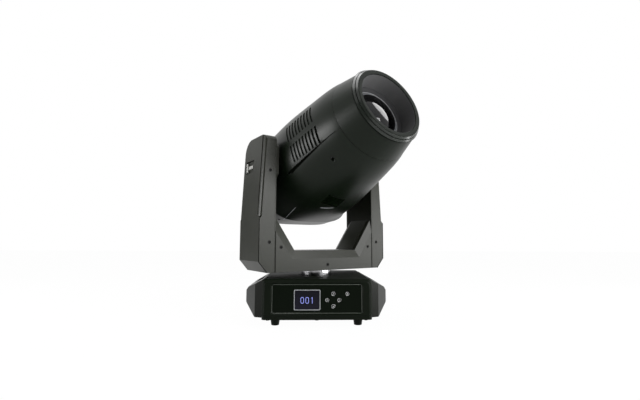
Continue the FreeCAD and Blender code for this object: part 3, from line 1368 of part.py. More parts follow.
def wheel_motor(s_wheel, side):
    """Small motor behind its wheel, standing on the middle bulkhead."""
    base = BULKHEADS[0][0] + BULKHEAD_T
    centre = (side * WHEEL_OFFSET, 0.0)
    top = base + WHEEL_MOTOR_L
    body = head_rod(WHEEL_MOTOR_R, base, top, (side * (WHEEL_OFFSET + WHEEL_MOTOR_SHIFT), 0.0))
    arm = head_rod(WHEEL_ARM_R, top - WHEEL_ARM_T / 2, top + WHEEL_ARM_T / 2, centre)
    shaft = head_rod(MOTOR_SHAFT_R / 2, top - WHEEL_ARM_T / 2,
                     s_wheel + WHEEL_HUB_L + WHEEL_SHAFT_PAST, centre)
    return join([body, arm, shaft])


def carriage(s, hole_r):
    """Lens carriage that slides on the four guide rods."""
    half_w, half_h = GUIDE_X + CARRIAGE_MARGIN, GUIDE_Z + CARRIAGE_MARGIN
    plate = head_box(-half_w, half_w, s, s + CARRIAGE_T, -half_h, half_h)
    plate = soften(plate, CARRIAGE_CORNER_R, Y_AXIS)
    collar = head_rod(CARRIAGE_RING_R, s, s + INNER_LENS_T)
    guides = [head_rod(GUIDE_R + RUN_FIT, s - 1, s + INNER_LENS_T, (x, z))
              for x in (-GUIDE_X, GUIDE_X) for z in (-GUIDE_Z, GUIDE_Z)]
    return cut(join([plate, collar]), guides + [head_rod(hole_r, s - 1, s + INNER_LENS_T + 1)])


def inner_lens(s):
    """Biconvex lens held in a carriage."""
    crown = INNER_LENS_CROWN
    radius = (INNER_LENS_R ** 2 + crown ** 2) / (2 * crown)
    middle = s + INNER_LENS_T / 2
    disc = head_rod(INNER_LENS_R, s - crown, s + INNER_LENS_T + crown)
    for sign in (-1.0, 1.0):
        centre = middle - sign * (radius - INNER_LENS_T / 2 - crown)
        disc = disc.common(Part.makeSphere(radius, V(0, -centre, 0)))
    return disc


# ---- whole part --------------------------------------------------------------------------
def base_nodes():
    pan_pulley_at = V(0, 0, PAN_PULLEY_LOW)
    motor_at = V(PAN_MOTOR_AT[0], PAN_MOTOR_AT[1], PAN_PULLEY_LOW)
    small = belt_pulley(PAN_MOTOR_PULLEY_R, MOTOR_SHAFT_R + RUN_FIT)
    nodes = {
        "base_tray": base_tray(),
        "base_cover": base_cover(),
        "front_bezel": front_bezel(),
        "front_panel": front_panel(),
        "display_window": display_window(),
        "display_board": display_board(),
        "rear_panel": rear_panel(),
        "power_sockets": [panel_socket(at, POWER_PINS) for at in power_places()],
        "signal_sockets": [panel_socket(at, SIGNAL_PINS) for at in signal_places()],
        "right_handle": right_handle(),
        "left_handle": mirror_x(right_handle()),
        "rubber_feet": [rubber_foot(at) for at in foot_places()],
        "rigging_points": [bracket_socket(at) for at in bracket_places()] + [safety_eye()],
        "base_screws": base_screws(),
        "power_supply": power_supply(),
        "pan_motor": pan_motor(),
        "pan_motor_pulley": small.translated(motor_at),
        "pan_belt": pan_belt(),
        "pan_bearing": pan_bearing(),
        "pan_pulley": on_yoke(belt_pulley(PAN_PULLEY_R, NECK_R + RUN_FIT).translated(pan_pulley_at)),
    }
    for name, at in button_places().items():
        nodes["menu_button_" + name] = menu_button(at)
    return nodes


def yoke_nodes():
    return {
        "pan_shaft": pan_shaft(),
        "yoke_frame": yoke_frame(),
        "crossbar_front_cover": crossbar_cover(BEVEL),
        "crossbar_rear_cover": mirror_y(crossbar_cover(BEVEL_REAR)),
        "crossbar_liner": crossbar_liner(),
        "left_arm_cover": left_arm_cover(),
        "right_arm_cover": arm_cover(),
        "arm_inner_plates": [mirror_x(arm_inner_plate()), arm_inner_plate()],
        "yoke_screws": yoke_screws(),
        "tilt_lock_slider": tilt_lock_slider(),
        "tilt_bearings": [tilt_bearing(-1.0), tilt_bearing(1.0)],
        "tilt_motor": tilt_motor(),
        "tilt_motor_pulley": tilt_motor_pulley(),
        "tilt_belt": tilt_belt(),
    }


def head_nodes():
    outer = head_outer()
    shell = outer.cut(head_inner())
    return {
        "head_top_cover": head_top_cover(shell),
        "head_bottom_cover": head_bottom_cover(shell, outer),
        "head_front_shell": head_front_shell(),
        "rim_ring": rim_ring(),
        "lens_retainer": lens_retainer(),
        "front_lens": front_lens(),
        "rear_cap": rear_cap(),
        "head_chassis": head_chassis(),
        "tilt_hubs": [left_tilt_hub(), right_tilt_hub()],
        "light_engine": light_engine(),
        "heatsink": heatsink(),
        "fan_frame": fan_frame(),
        "fan_rotor": fan_rotor(),
        "colour_wheel": wheel(COLOUR_S, 1.0),
        "gobo_wheel": wheel(GOBO_S, -1.0),
        "wheel_motors": [wheel_motor(COLOUR_S, 1.0), wheel_motor(GOBO_S, -1.0)],
        "zoom_carriage": carriage(ZOOM_S, INNER_LENS_R),
        "focus_carriage": carriage(FOCUS_S, INNER_LENS_R),
        "zoom_lens": inner_lens(ZOOM_S),
        "focus_lens": inner_lens(FOCUS_S),
        "head_screws": head_screws(),
    }


def placed(shape, place):
    if isinstance(shape, list):
        return Part.makeCompound([place(piece) for piece in shape])
    return place(shape)


def main():
    os.makedirs("parts", exist_ok=True)
    groups = ((base_nodes(), lambda s: s), (yoke_nodes(), on_yoke), (head_nodes(), on_head))
    for nodes, place in groups:
        for name, shape in nodes.items():
            placed(shape, place).exportStep("parts/" + name + ".step")


main()
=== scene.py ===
import itertools
import json
import math

import bmesh
import bpy
from mathutils import Matrix, Vector


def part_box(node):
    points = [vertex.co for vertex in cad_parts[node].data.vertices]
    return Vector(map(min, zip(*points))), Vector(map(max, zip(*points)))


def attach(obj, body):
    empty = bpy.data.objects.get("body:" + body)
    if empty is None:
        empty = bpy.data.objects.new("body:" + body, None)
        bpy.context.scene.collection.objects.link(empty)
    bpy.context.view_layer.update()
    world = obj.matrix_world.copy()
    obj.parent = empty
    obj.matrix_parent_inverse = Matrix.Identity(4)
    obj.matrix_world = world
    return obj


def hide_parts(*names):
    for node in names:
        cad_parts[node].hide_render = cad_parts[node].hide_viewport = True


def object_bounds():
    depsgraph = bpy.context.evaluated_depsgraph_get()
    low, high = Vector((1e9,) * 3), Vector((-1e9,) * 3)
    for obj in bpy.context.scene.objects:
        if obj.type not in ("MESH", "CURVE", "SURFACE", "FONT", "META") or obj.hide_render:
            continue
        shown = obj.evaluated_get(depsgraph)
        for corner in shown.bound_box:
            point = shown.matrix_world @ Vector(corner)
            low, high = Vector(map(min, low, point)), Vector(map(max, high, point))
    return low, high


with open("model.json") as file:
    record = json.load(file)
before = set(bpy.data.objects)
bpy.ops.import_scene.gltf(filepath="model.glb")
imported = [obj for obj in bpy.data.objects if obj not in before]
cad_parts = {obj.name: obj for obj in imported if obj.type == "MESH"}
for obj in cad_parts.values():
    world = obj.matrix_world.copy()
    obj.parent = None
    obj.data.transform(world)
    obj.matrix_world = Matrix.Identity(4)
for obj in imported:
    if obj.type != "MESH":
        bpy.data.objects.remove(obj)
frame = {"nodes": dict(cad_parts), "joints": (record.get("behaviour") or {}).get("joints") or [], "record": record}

BOX_AT_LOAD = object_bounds()
NODES = frame["nodes"]
JOINTS = {joint["name"]: joint for joint in frame["joints"]}
BODIES = {node: body for body, nodes in frame["record"]["behaviour"]["bodies"].items()
          for node in nodes}
SLOTS = {part["node"]: part["material_slot"] for part in frame["record"]["subparts"]}
MM = 0.001

# The head's frame: X to its right side, Y backwards along its axis, Z up, origin on the tilt axis.
FORWARD = Vector(JOINTS["zoom"]["axis"])
SIDE = -Vector(JOINTS["tilt"]["axis"])
TILT_CENTRE = Vector(JOINTS["tilt"]["pos_m"])
UP = Vector((0.0, 0.0, 1.0))


def placing(x_axis, y_axis, z_axis, origin=(0.0, 0.0, 0.0)):
    turn = Matrix((x_axis, y_axis, z_axis)).transposed().to_4x4()
    return Matrix.Translation(origin) @ turn


# Louvres in the head's sides: first slot, pitch and width along the axis; bottom, top, lean.
LOUVRE_AT, LOUVRE_PITCH, LOUVRE_W, LOUVRE_COUNT = 89.0, 11.4, 6.2, 9
LOUVRE_ROWS = ((10.0, 64.0, -15.5), (-46.0, -4.0, 4.5))
BLADE_SUNK = 2.5            # the blades' middles, inward from the skin
BLADE_OVERLAP = 1.04        # each half blade is this much longer than its half slot
# Slit between the head's covers: height where it starts, rise, opening, start and end.
SLIT_Z, SLIT_RISE, SLIT_OPEN, SLIT_START, SLIT_END = -55.0, 0.067, 4.5, 55.0, 236.0
# Painted shadow strip under the step along the slit: its first station, their spacing and number along the axis.
STEP_SHADOW_START, STEP_SHADOW_SPACING, STEP_SHADOW_COUNT = 64.0, 9.3, 19
STEP_SHADOW_MARGIN = 0.9           # least depth below the slit's opening
STEP_SHADOW_TAPER = 0.048          # depth for each mm that is left to the slit's end
STEP_SHADOW_LAP = 0.3              # reach over the slit's upper edge
# Front lens: its back face, the edge of its dome, radius there and crown.
LENS_BACK, LENS_EDGE, LENS_R, LENS_CROWN = 258.3, 262.3, 62.2, 20.0
# The rim's slope: (distance ahead, radius) where it starts and ends.
SLOPE_START, SLOPE_END = (301.0, 96.2), (312.3, 87.3)
# Digits: how far each stands from the middle of the display, and how deep and proud they are.
DIGIT_LEFT, DIGIT_MIDDLE, DIGIT_RIGHT = -11.6 * MM, 0.1 * MM, 12.1 * MM
DIGIT_SUNK, DIGIT_PROUD = 0.1 * MM, 0.06 * MM
SIGN_HALF_T = 0.1 * MM      # half the thickness of a key's sign
OUTSIDE = 0.4               # metres from the head's axis: a ray that starts here meets its skin
SLIT_SEARCH = 0.4           # step in height when looking for skin beside the slit

BASE = Matrix.Identity(4)
YOKE = placing(SIDE, UP.cross(SIDE), UP)
HEAD = placing(SIDE, -FORWARD, SIDE.cross(-FORWARD), TILT_CENTRE)


# ---- finishes ------------------------------------------------------------------------------
class Wire:
    """An output socket in a finish. Arithmetic on it adds Math nodes."""

    def __init__(self, finish, socket):
        self.finish, self.socket = finish, socket

    def maths(self, operation, *terms):
        values = dict(enumerate(terms))
        return self.finish.node("ShaderNodeMath", {"operation": operation}, values)

    def __add__(self, other):
        return self.maths("ADD", self, other)

    def __radd__(self, other):
        return self.maths("ADD", other, self)

    def __sub__(self, other):
        return self.maths("SUBTRACT", self, other)

    def __mul__(self, other):
        return self.maths("MULTIPLY", self, other)

    def __truediv__(self, other):
        return self.maths("DIVIDE", self, other)

    def below(self, limit):
        return self.maths("LESS_THAN", self, limit)

    def wave(self):
        return self.maths("SINE", self)


class Finish:
    """A material with a Principled shader. Constants go straight onto the shader's sockets."""

    def __init__(self, name, constants):
        self.material = bpy.data.materials.new(name)
        self.material.use_nodes = True
        self.tree = self.material.node_tree
        self.shader = next(n for n in self.tree.nodes if n.type == "BSDF_PRINCIPLED")
        for socket, value in constants.items():
            self.shader.inputs[socket].default_value = value

    def node(self, kind, settings, values, output=0):
        """Any node: its settings are made first, then its sockets get numbers or wires."""
        made = self.tree.nodes.new(kind)
        for name, value in settings.items():
            setattr(made, name, value)
        for name, value in values.items():
            if isinstance(value, Wire):
                self.tree.links.new(value.socket, made.inputs[name])
            else:
                made.inputs[name].default_value = value
        return Wire(self, made.outputs[output])

    def place(self):
        return self.node("ShaderNodeTexCoord", {}, {}, "Object")

    def noise(self, scale, detail=2.0, stretch=None):
        where = self.place()
        if stretch:
            where = self.node("ShaderNodeMapping", {}, {"Vector": where, "Scale": stretch})
        return self.node("ShaderNodeTexNoise", {},
                         {"Vector": where, "Scale": scale, "Detail": detail})

    def blend(self, factor, first, second):
        return self.node("ShaderNodeMix", {"data_type": "RGBA"},
                         {0: factor, 6: first, 7: second}, 2)

    def feed(self, socket, wire):
        self.tree.links.new(wire.socket, self.shader.inputs[socket])

    def relief(self, height, distance):
        bump = {"Strength": 1.0, "Distance": distance, "Height": height}
        self.feed("Normal", self.node("ShaderNodeBump", {}, bump))


def rgb(red, green, blue):
    return (red, green, blue, 1.0)


def moulded(name, dark, light, roughness, spread, grain, depth, specular):
    """Moulded plastic or paint: two close shades in soft clouds, and a fine grain."""
    finish = Finish(name, {"Specular IOR Level": specular})
    cloud = finish.noise(14.0, 4.0)
    fine = finish.noise(grain, 2.0)
    finish.feed("Base Color", finish.blend(cloud * 0.65 + fine * 0.35, dark, light))
    finish.feed("Roughness", roughness + (cloud - 0.5) * spread + (fine - 0.5) * spread)
    finish.relief(fine, depth)
    return finish.material


def turned_metal(name, dark, light, roughness, stretch):
    """Bare metal with fine marks drawn out along one direction."""
    finish = Finish(name, {"Metallic": 1.0, "Specular IOR Level": 0.5})
    marks = finish.noise(900.0, 3.0, stretch)
    cloud = finish.noise(30.0, 3.0)
    finish.feed("Base Color", finish.blend(marks * 0.6 + cloud * 0.4, dark, light))
    finish.feed("Roughness", roughness + (marks - 0.5) * 0.16 + (cloud - 0.5) * 0.1)
    finish.relief(marks, 0.00001)
    return finish.material


def screen_glass():
    """Dark screen: a faint upright gradient under a gloss pane."""
    finish = Finish("screen glass", {"Specular IOR Level": 0.12})
    height = finish.node("ShaderNodeSeparateXYZ", {}, {0: finish.place()}, "Z")
    low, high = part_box("display_window")
    rise = (height - low.z) / (high.z - low.z)
    dust = finish.noise(420.0, 4.0)
    finish.feed("Base Color", finish.blend(rise, rgb(0.0040, 0.0040, 0.0090),
                                           rgb(0.0015, 0.0015, 0.0040)))
    finish.feed("Roughness", 0.16 + dust * 0.08)
    return finish.material


def lit_digits():
    """Blue-violet strokes that glow a little unevenly."""
    finish = Finish("lit digits", {"Emission Strength": 1.0, "Roughness": 0.5})
    cells = finish.noise(500.0, 1.0)
    finish.feed("Base Color", finish.blend(cells, rgb(0.05, 0.06, 0.20), rgb(0.08, 0.09, 0.26)))
    finish.feed("Emission Color", finish.blend(cells, rgb(0.24, 0.28, 0.80), rgb(0.32, 0.37, 0.95)))
    return finish.material


def clear_glass(name, tint, tint_deep):
    """Coated glass: clear, with a tinge that shifts over the surface."""
    finish = Finish(name, {"Transmission Weight": 1.0, "IOR": 1.35})
    cloud = finish.noise(9.0, 2.0)
    smear = finish.noise(60.0, 4.0)
    finish.feed("Base Color", finish.blend(cloud, tint, tint_deep))
    finish.feed("Roughness", 0.01 + smear * 0.012)
    return finish.material


def circuit_board():
    """Green board with copper tracks under its lacquer."""
    finish = Finish("circuit board", {"Specular IOR Level": 0.5})
    place = finish.place()
    across = finish.node("ShaderNodeSeparateXYZ", {}, {0: place}, "X")
    tracks = (across * 2600.0).wave().below(-0.2)
    cloud = finish.noise(60.0, 3.0)
    mask = tracks * cloud.below(0.48)
    finish.feed("Base Color", finish.blend(mask, rgb(0.012, 0.10, 0.04), rgb(0.03, 0.19, 0.08)))
    finish.feed("Roughness", 0.34 + cloud * 0.12)
    finish.relief(mask, 0.00004)
    return finish.material


FINISHES = {
    "housing": moulded("yoke paint", rgb(0.0078, 0.0088, 0.0054), rgb(0.0112, 0.0122, 0.0082),
                       0.36, 0.07, 1500.0, 0.00002, 0.19),
    "trim": moulded("satin trim", rgb(0.0026, 0.0036, 0.0026), rgb(0.0044, 0.0056, 0.0044),
                    0.32, 0.06, 1800.0, 0.000015, 0.12),
    "panel": moulded("gloss panel", rgb(0.0008, 0.0020, 0.0006), rgb(0.0014, 0.0030, 0.0011),
                     0.22, 0.05, 500.0, 0.000006, 0.05),
    "display": screen_glass(),
    "circuit_board": circuit_board(),
    "button": moulded("key plastic", rgb(0.0016, 0.0026, 0.0014), rgb(0.0026, 0.0038, 0.0022),
                      0.34, 0.08, 1500.0, 0.00002, 0.1),
    "black_metal": moulded("powder coat", rgb(0.012, 0.0125, 0.012), rgb(0.019, 0.0195, 0.0185),
                           0.48, 0.12, 1100.0, 0.00005, 0.4),
    "chassis_metal": turned_metal("milled aluminium", rgb(0.50, 0.51, 0.53), rgb(0.66, 0.67, 0.69),
                                  0.34, (1.0, 0.12, 1.0)),
    "steel": turned_metal("turned steel", rgb(0.36, 0.36, 0.37), rgb(0.54, 0.54, 0.55),
                          0.14, (0.10, 0.10, 1.0)),
    "screw": moulded("black oxide", rgb(0.0010, 0.0012, 0.0010), rgb(0.0030, 0.0033, 0.0030),
                     0.42, 0.10, 1800.0, 0.00002, 0.1),
    "socket": moulded("connector plastic", rgb(0.014, 0.014, 0.016), rgb(0.022, 0.022, 0.025),
                      0.30, 0.08, 900.0, 0.00002, 0.4),
    "latch": moulded("grey latch", rgb(0.22, 0.22, 0.21), rgb(0.30, 0.30, 0.285),
                     0.34, 0.08, 1500.0, 0.00002, 0.5),
    "rubber": moulded("black rubber", rgb(0.010, 0.010, 0.010), rgb(0.018, 0.018, 0.017),
                      0.62, 0.14, 700.0, 0.00008, 0.3),
    "belt": moulded("belt rubber", rgb(0.012, 0.012, 0.012), rgb(0.022, 0.022, 0.022),
                    0.66, 0.10, 1300.0, 0.00006, 0.3),
    "lens": clear_glass("coated glass", rgb(0.0040, 0.0045, 0.0052), rgb(0.0030, 0.0034, 0.0042)),
    "wheel": turned_metal("dark anodised", rgb(0.16, 0.16, 0.17), rgb(0.26, 0.26, 0.27),
                          0.36, (1.0, 0.15, 1.0)),
}
HEAD_PLASTIC = moulded("head plastic", rgb(0.0016, 0.0034, 0.0013), rgb(0.0030, 0.0056, 0.0026),
                       0.33, 0.07, 1500.0, 0.00002, 0.165)
BASE_PLASTIC = moulded("base plastic", rgb(0.0012, 0.0026, 0.0009), rgb(0.0024, 0.0042, 0.0019),
                       0.36, 0.07, 1500.0, 0.00002, 0.08)
COVER_PLASTIC = moulded("base cover plastic", rgb(0.0014, 0.0028, 0.0010),
                        rgb(0.0026, 0.0044, 0.0021), 0.56, 0.08, 1500.0, 0.00003, 0.05)
HANDLE_PLASTIC = moulded("handle plastic", rgb(0.0030, 0.0038, 0.0024), rgb(0.0050, 0.0060, 0.0042),
                         0.32, 0.07, 1500.0, 0.00002, 0.15)
LOUVRE_PLASTIC = moulded("louvre plastic", rgb(0.0040, 0.0054, 0.0038), rgb(0.0060, 0.0074, 0.0056),
                         0.50, 0.07, 1500.0, 0.00002, 0.10)
RING_GREY = moulded("dull lens ring", rgb(0.125, 0.128, 0.132), rgb(0.165, 0.168, 0.172),
                    0.45, 0.08, 1400.0, 0.00001, 0.3)
BLACK_CHASSIS = moulded("black anodised", rgb(0.008, 0.008, 0.008), rgb(0.014, 0.014, 0.014),
                        0.5, 0.1, 900.0, 0.00002, 0.2)
# Painted highlight: light grey for the bead round the front panel.
PANEL_LIP_HIGHLIGHT = moulded("panel lip painted highlight", rgb(0.050, 0.058, 0.047), rgb(0.068, 0.076, 0.065),
                      0.35, 0.07, 1500.0, 0.00002, 0.4)
RIM_GLOSS = moulded("gloss rim", rgb(0.008, 0.010, 0.008), rgb(0.012, 0.014, 0.012),
                    0.22, 0.05, 1800.0, 0.00001, 0.32)
RIM_BLACK = moulded("matte rim", rgb(0.0034, 0.0046, 0.0034), rgb(0.0052, 0.0066, 0.0052),
                    0.50, 0.06, 1800.0, 0.00002, 0.015)
SEAT_BLACK = moulded("matte lens seat", rgb(0.026, 0.026, 0.027), rgb(0.034, 0.034, 0.035),
                     0.85, 0.05, 1600.0, 0.00002, 0.05)
# Painted glow: grey band on the front lens's edge, standing in for light seen in the glass.
LENS_EDGE_GLOW = moulded("painted lens edge glow", rgb(0.060, 0.062, 0.066), rgb(0.085, 0.088, 0.092),
                     0.70, 0.06, 1600.0, 0.00001, 0.2)
DIGITS = lit_digits()
WHITE_PRINT = moulded("white print", rgb(0.78, 0.79, 0.80), rgb(0.88, 0.89, 0.90),
                      0.42, 0.08, 1400.0, 0.00001, 0.4)
# Light grey for print and the display frame, and for the painted highlight lines along the head's belly creases.
PRINT_AND_HIGHLIGHT_GREY = moulded("light grey print and painted highlight", rgb(0.24, 0.25, 0.26), rgb(0.31, 0.32, 0.33),
                     0.42, 0.08, 1400.0, 0.00001, 0.4)
HOOD_LINING = moulded("matte hood lining", rgb(0.060, 0.060, 0.061), rgb(0.068, 0.068, 0.069),
                      0.90, 0.04, 1600.0, 0.00002, 0.05)
# Near black for the dark joints along the arms, and for the painted shadow along the head's side slits.
SEAM_AND_SHADOW_BLACK = moulded("dark seam and painted shadow", rgb(0.0010, 0.0014, 0.0009), rgb(0.0020, 0.0024, 0.0018),
                     0.85, 0.10, 1500.0, 0.00002, 0.0)


NODE_FINISHES = {
    "head_top_cover": HEAD_PLASTIC, "head_bottom_cover": HEAD_PLASTIC,
    "head_front_shell": HEAD_PLASTIC, "rear_cap": HEAD_PLASTIC, "base_tray": BASE_PLASTIC,
    "base_cover": COVER_PLASTIC, "front_bezel": BASE_PLASTIC, "rubber_feet": BASE_PLASTIC,
    "rim_ring": RIM_BLACK, "left_handle": HANDLE_PLASTIC, "right_handle": HANDLE_PLASTIC,
    "head_chassis": BLACK_CHASSIS, "light_engine": BLACK_CHASSIS, "heatsink": BLACK_CHASSIS,
}


def finish_of(node):
    return NODE_FINISHES.get(node, FINISHES[SLOTS[node]])


# ---- recipes for repeated pieces -----------------------------------------------------------
def give_vectors(mesh, label, vectors):
    attribute = mesh.attributes.new(label, "FLOAT_VECTOR", "POINT")
    for item, vector in zip(attribute.data, vectors):
        item.vector = vector


class Recipe:
    """A Geometry Nodes tree. Its inputs are named, and its result is a plain mesh."""

    def __init__(self, name, inputs):
        self.tree = bpy.data.node_groups.new(name, "GeometryNodeTree")
        self.tree.interface.new_socket("Geometry", in_out="INPUT", socket_type="NodeSocketGeometry")
        self.identifiers = {}
        for label, kind in inputs.items():
            socket = self.tree.interface.new_socket(label, in_out="INPUT",
                                                    socket_type="NodeSocket" + kind)
            self.identifiers[label] = socket.identifier
        self.tree.interface.new_socket("Geometry", in_out="OUTPUT",
                                       socket_type="NodeSocketGeometry")
        self.given = self.tree.nodes.new("NodeGroupInput").outputs
        self.result = self.tree.nodes.new("NodeGroupOutput").inputs[0]

    def node(self, kind, settings, values, output=0):
        made = self.tree.nodes.new(kind)
        for name, value in settings.items():
            setattr(made, name, value)
        for name, value in values.items():
            if isinstance(value, bpy.types.NodeSocket):
                self.tree.links.new(value, made.inputs[name])
            else:
                made.inputs[name].default_value = value
        return made.outputs[output]

    def joined(self, *parts):
        join = self.tree.nodes.new("GeometryNodeJoinGeometry")
        for part in parts:
            self.tree.links.new(part, join.inputs[0])
        return join.outputs[0]

    def negative(self, socket):
        return self.node("ShaderNodeMath", {"operation": "MULTIPLY"}, {0: socket, 1: -1.0})

    def close(self, geometry, finish):
        real = self.node("GeometryNodeRealizeInstances", {}, {0: geometry})
        self.tree.links.new(self.node("GeometryNodeSetMaterial", {},
                                      {"Geometry": real, "Material": finish}), self.result)

    def on_points(self, piece, finish):
        """Finish the tree: the piece on every given point, its Z along the point's facing."""
        facing = self.node("GeometryNodeInputNamedAttribute", {"data_type": "FLOAT_VECTOR"},
                           {"Name": "facing"})
        turn = self.node("FunctionNodeAlignRotationToVector", {"axis": "Z"}, {"Vector": facing})
        self.close(self.node("GeometryNodeInstanceOnPoints", {},
                             {"Points": self.given["Geometry"], "Instance": piece,
                              "Rotation": turn}), finish)

    def make(self, name, places, values):
        """Run the tree on points (place, facing) and return the finished object."""
        mesh = bpy.data.meshes.new(name)
        mesh.from_pydata([place for place, _ in places], [], [])
        give_vectors(mesh, "facing", [direction for _, direction in places])
        return self.run(name, mesh, values)

    def follow(self, name, points, edges, values):
        """Run the tree on open paths and return the finished object."""
        mesh = bpy.data.meshes.new(name)
        mesh.from_pydata(points, edges, [])
        return self.run(name, mesh, values)

    def run(self, name, mesh, values):
        piece = to_object(name, mesh)
        modifier = piece.modifiers.new("recipe", "NODES")
        modifier.node_group = self.tree
        for label, value in values.items():
            modifier[self.identifiers[label]] = value
        finished_mesh(piece)
        bm = bmesh.new()
        bm.from_mesh(piece.data)
        bmesh.ops.remove_doubles(bm, verts=bm.verts, dist=1e-6)
        bmesh.ops.recalc_face_normals(bm, faces=bm.faces)
        bm.to_mesh(piece.data)
        bm.free()
        return piece


def screw_recipe():
    """Round head with a hexagon socket, its top at the point and its shank inwards."""
    recipe = Recipe("socket head screw", {"Head radius": "Float", "Head height": "Float",
                                          "Hexagon radius": "Float", "Hexagon depth": "Float"})
    given = recipe.given
    rim = recipe.node("GeometryNodeCurvePrimitiveCircle", {},
                      {"Resolution": 28, "Radius": given["Head radius"]})
    hexagon = recipe.node("GeometryNodeCurvePrimitiveCircle", {},
                          {"Resolution": 6, "Radius": given["Hexagon radius"]})
    face = recipe.node("GeometryNodeFillCurve", {}, {0: recipe.joined(rim, hexagon)})
    down = recipe.node("ShaderNodeCombineXYZ", {}, {"Z": recipe.negative(given["Head height"])})
    head = recipe.node("GeometryNodeExtrudeMesh", {"mode": "FACES"},
                       {"Mesh": face, "Offset": down, "Offset Scale": 1.0, "Individual": False})
    floor = recipe.node("GeometryNodeMeshCircle", {"fill_type": "NGON"},
                        {"Vertices": 6, "Radius": given["Hexagon radius"]})
    sunk = recipe.node("ShaderNodeCombineXYZ", {}, {"Z": recipe.negative(given["Hexagon depth"])})
    floor = recipe.node("GeometryNodeTransform", {}, {"Geometry": floor, "Translation": sunk})
    recipe.on_points(recipe.joined(head, face, floor), FINISHES["screw"])
    return recipe


def ring_recipe(finish):
    """Flat ring that stands a little proud of the surface at each point."""
    recipe = Recipe("printed ring", {"Radius": "Float", "Width": "Float", "Height": "Float"})
    given = recipe.given
    line = recipe.node("GeometryNodeCurvePrimitiveCircle", {},
                       {"Resolution": 56, "Radius": given["Radius"]})
    section = recipe.node("GeometryNodeCurvePrimitiveQuadrilateral", {},
                          {"Width": given["Height"], "Height": given["Width"]})
    recipe.on_points(recipe.node("GeometryNodeCurveToMesh", {},
                                 {"Curve": line, "Profile Curve": section}), finish)
    return recipe


def islands(node):
    """Corner points of each loose solid in a CAD node."""
    bm = bmesh.new()
    bm.from_mesh(NODES[node].data)
    bmesh.ops.remove_doubles(bm, verts=bm.verts, dist=2e-6)
    waiting, found = set(bm.verts), []
    for first in bm.verts:
        if first not in waiting:
            continue
        waiting.remove(first)
        edge_of_search = [first]
        points = []
        while edge_of_search:
            vert = edge_of_search.pop()
            points.append(vert.co.copy())
            for edge in vert.link_edges:
                other = edge.other_vert(vert)
                if other in waiting:
                    waiting.remove(other)
                    edge_of_search.append(other)
        found.append(points)
    bm.free()
    return found


def screw_places(node, place, axis):
    """Top centre and outward direction of each screw; the screws run along one axis of a frame."""
    inverse = place.inverted()
    places = []
    for points in islands(node):
        local = [inverse @ point for point in points]
        low = [min(point[i] for point in local) for i in range(3)]
        high = [max(point[i] for point in local) for i in range(3)]
        top = Vector([(a + b) / 2 for a, b in zip(low, high)])
        sign = -1.0 if axis == 2 or top[axis] < 0 else 1.0
        top[axis] = low[axis] if sign < 0 else high[axis]
        outward = Vector([sign if i == axis else 0.0 for i in range(3)])
        places.append((place @ top, place.to_3x3() @ outward))
    return places


def socket_screws():
    """The three sets of screws, each head with its socket."""
    recipe = screw_recipe()
    sizes = {"Head radius": 4.1 * MM, "Head height": 3.0 * MM, "Hexagon radius": 2.2 * MM,
             "Hexagon depth": 2.0 * MM}
    for node, place, axis in (("yoke_screws", YOKE, 1), ("head_screws", HEAD, 2),
                              ("base_screws", BASE, 2)):
        piece = recipe.make(node + "_socket_head", screw_places(node, place, axis), sizes)
        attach(piece, BODIES[node])
        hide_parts(node)


# ---- mesh tools ----------------------------------------------------------------------------
def to_object(name, mesh_or_bm, finish=None):
    if isinstance(mesh_or_bm, bmesh.types.BMesh):
        mesh = bpy.data.meshes.new(name)
        mesh_or_bm.to_mesh(mesh)
        mesh_or_bm.free()
    else:
        mesh = mesh_or_bm
    made = bpy.data.objects.new(name, mesh)
    bpy.context.scene.collection.objects.link(made)
    if finish:
        mesh.materials.clear()
        mesh.materials.append(finish)
    return made


def finished_mesh(piece):
    """Make the piece's modifiers real and remove them."""
    bpy.context.view_layer.update()
    evaluated = piece.evaluated_get(bpy.context.evaluated_depsgraph_get())
    mesh = bpy.data.meshes.new_from_object(evaluated)
    piece.modifiers.clear()
    piece.data = mesh


def merged_copy(node, flat):
    """A copy of a CAD node's mesh with its doubles merged and its flat faces whole."""
    bm = bmesh.new()
    bm.from_mesh(NODES[node].data)
    bmesh.ops.remove_doubles(bm, verts=bm.verts, dist=2e-6)
    bmesh.ops.dissolve_limit(bm, angle_limit=math.radians(flat), verts=bm.verts, edges=bm.edges,
                             delimit={"NORMAL"})
    return bm


def breadth(face):
    return face.calc_area() / max(edge.calc_length() for edge in face.edges)


def mark_edges(bm, sharp=30.0, shallow=9.0, wide=4.0 * MM):
    """Smooth faces, and bevel weight 1 on every real edge and on shallow ones of broad faces."""
    weight = bm.edges.layers.float.new("bevel_weight_edge")
    for face in bm.faces:
        face.smooth = True
    for edge in bm.edges:
        if len(edge.link_faces) != 2:
            continue
        angle = math.degrees(edge.calc_face_angle(0.0))
        broad = angle > shallow and min(breadth(face) for face in edge.link_faces) > wide
        edge[weight] = 1.0 if angle > sharp or broad else 0.0


def eased(piece, width, segments=3):
    """Round the marked edges, and keep the flat faces flat to the eye."""
    bevel = piece.modifiers.new("edge", "BEVEL")
    bevel.width, bevel.segments, bevel.limit_method = width, segments, "WEIGHT"
    bevel.use_clamp_overlap = True
    shade = piece.modifiers.new("shade", "WEIGHTED_NORMAL")
    shade.keep_sharp, shade.weight = True, 60
    finished_mesh(piece)


def dressed(node, width, flat=0.6):
    """Stand-in for a CAD node: the same solid with its edges eased."""
    bm = merged_copy(node, flat)
    mark_edges(bm)
    piece = to_object(node + "_dressed", bm, finish_of(node))
    eased(piece, width * MM)
    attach(piece, BODIES[node])
    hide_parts(node)


def own_piece(piece, body):
    """A piece of the scene's own, which stands for no CAD node."""
    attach(piece, body)


# ---- CAD pieces that keep their shape ------------------------------------------------------
def paint_cad():
    for name, node in NODES.items():
        node.data.materials.clear()
        node.data.materials.append(finish_of(name))


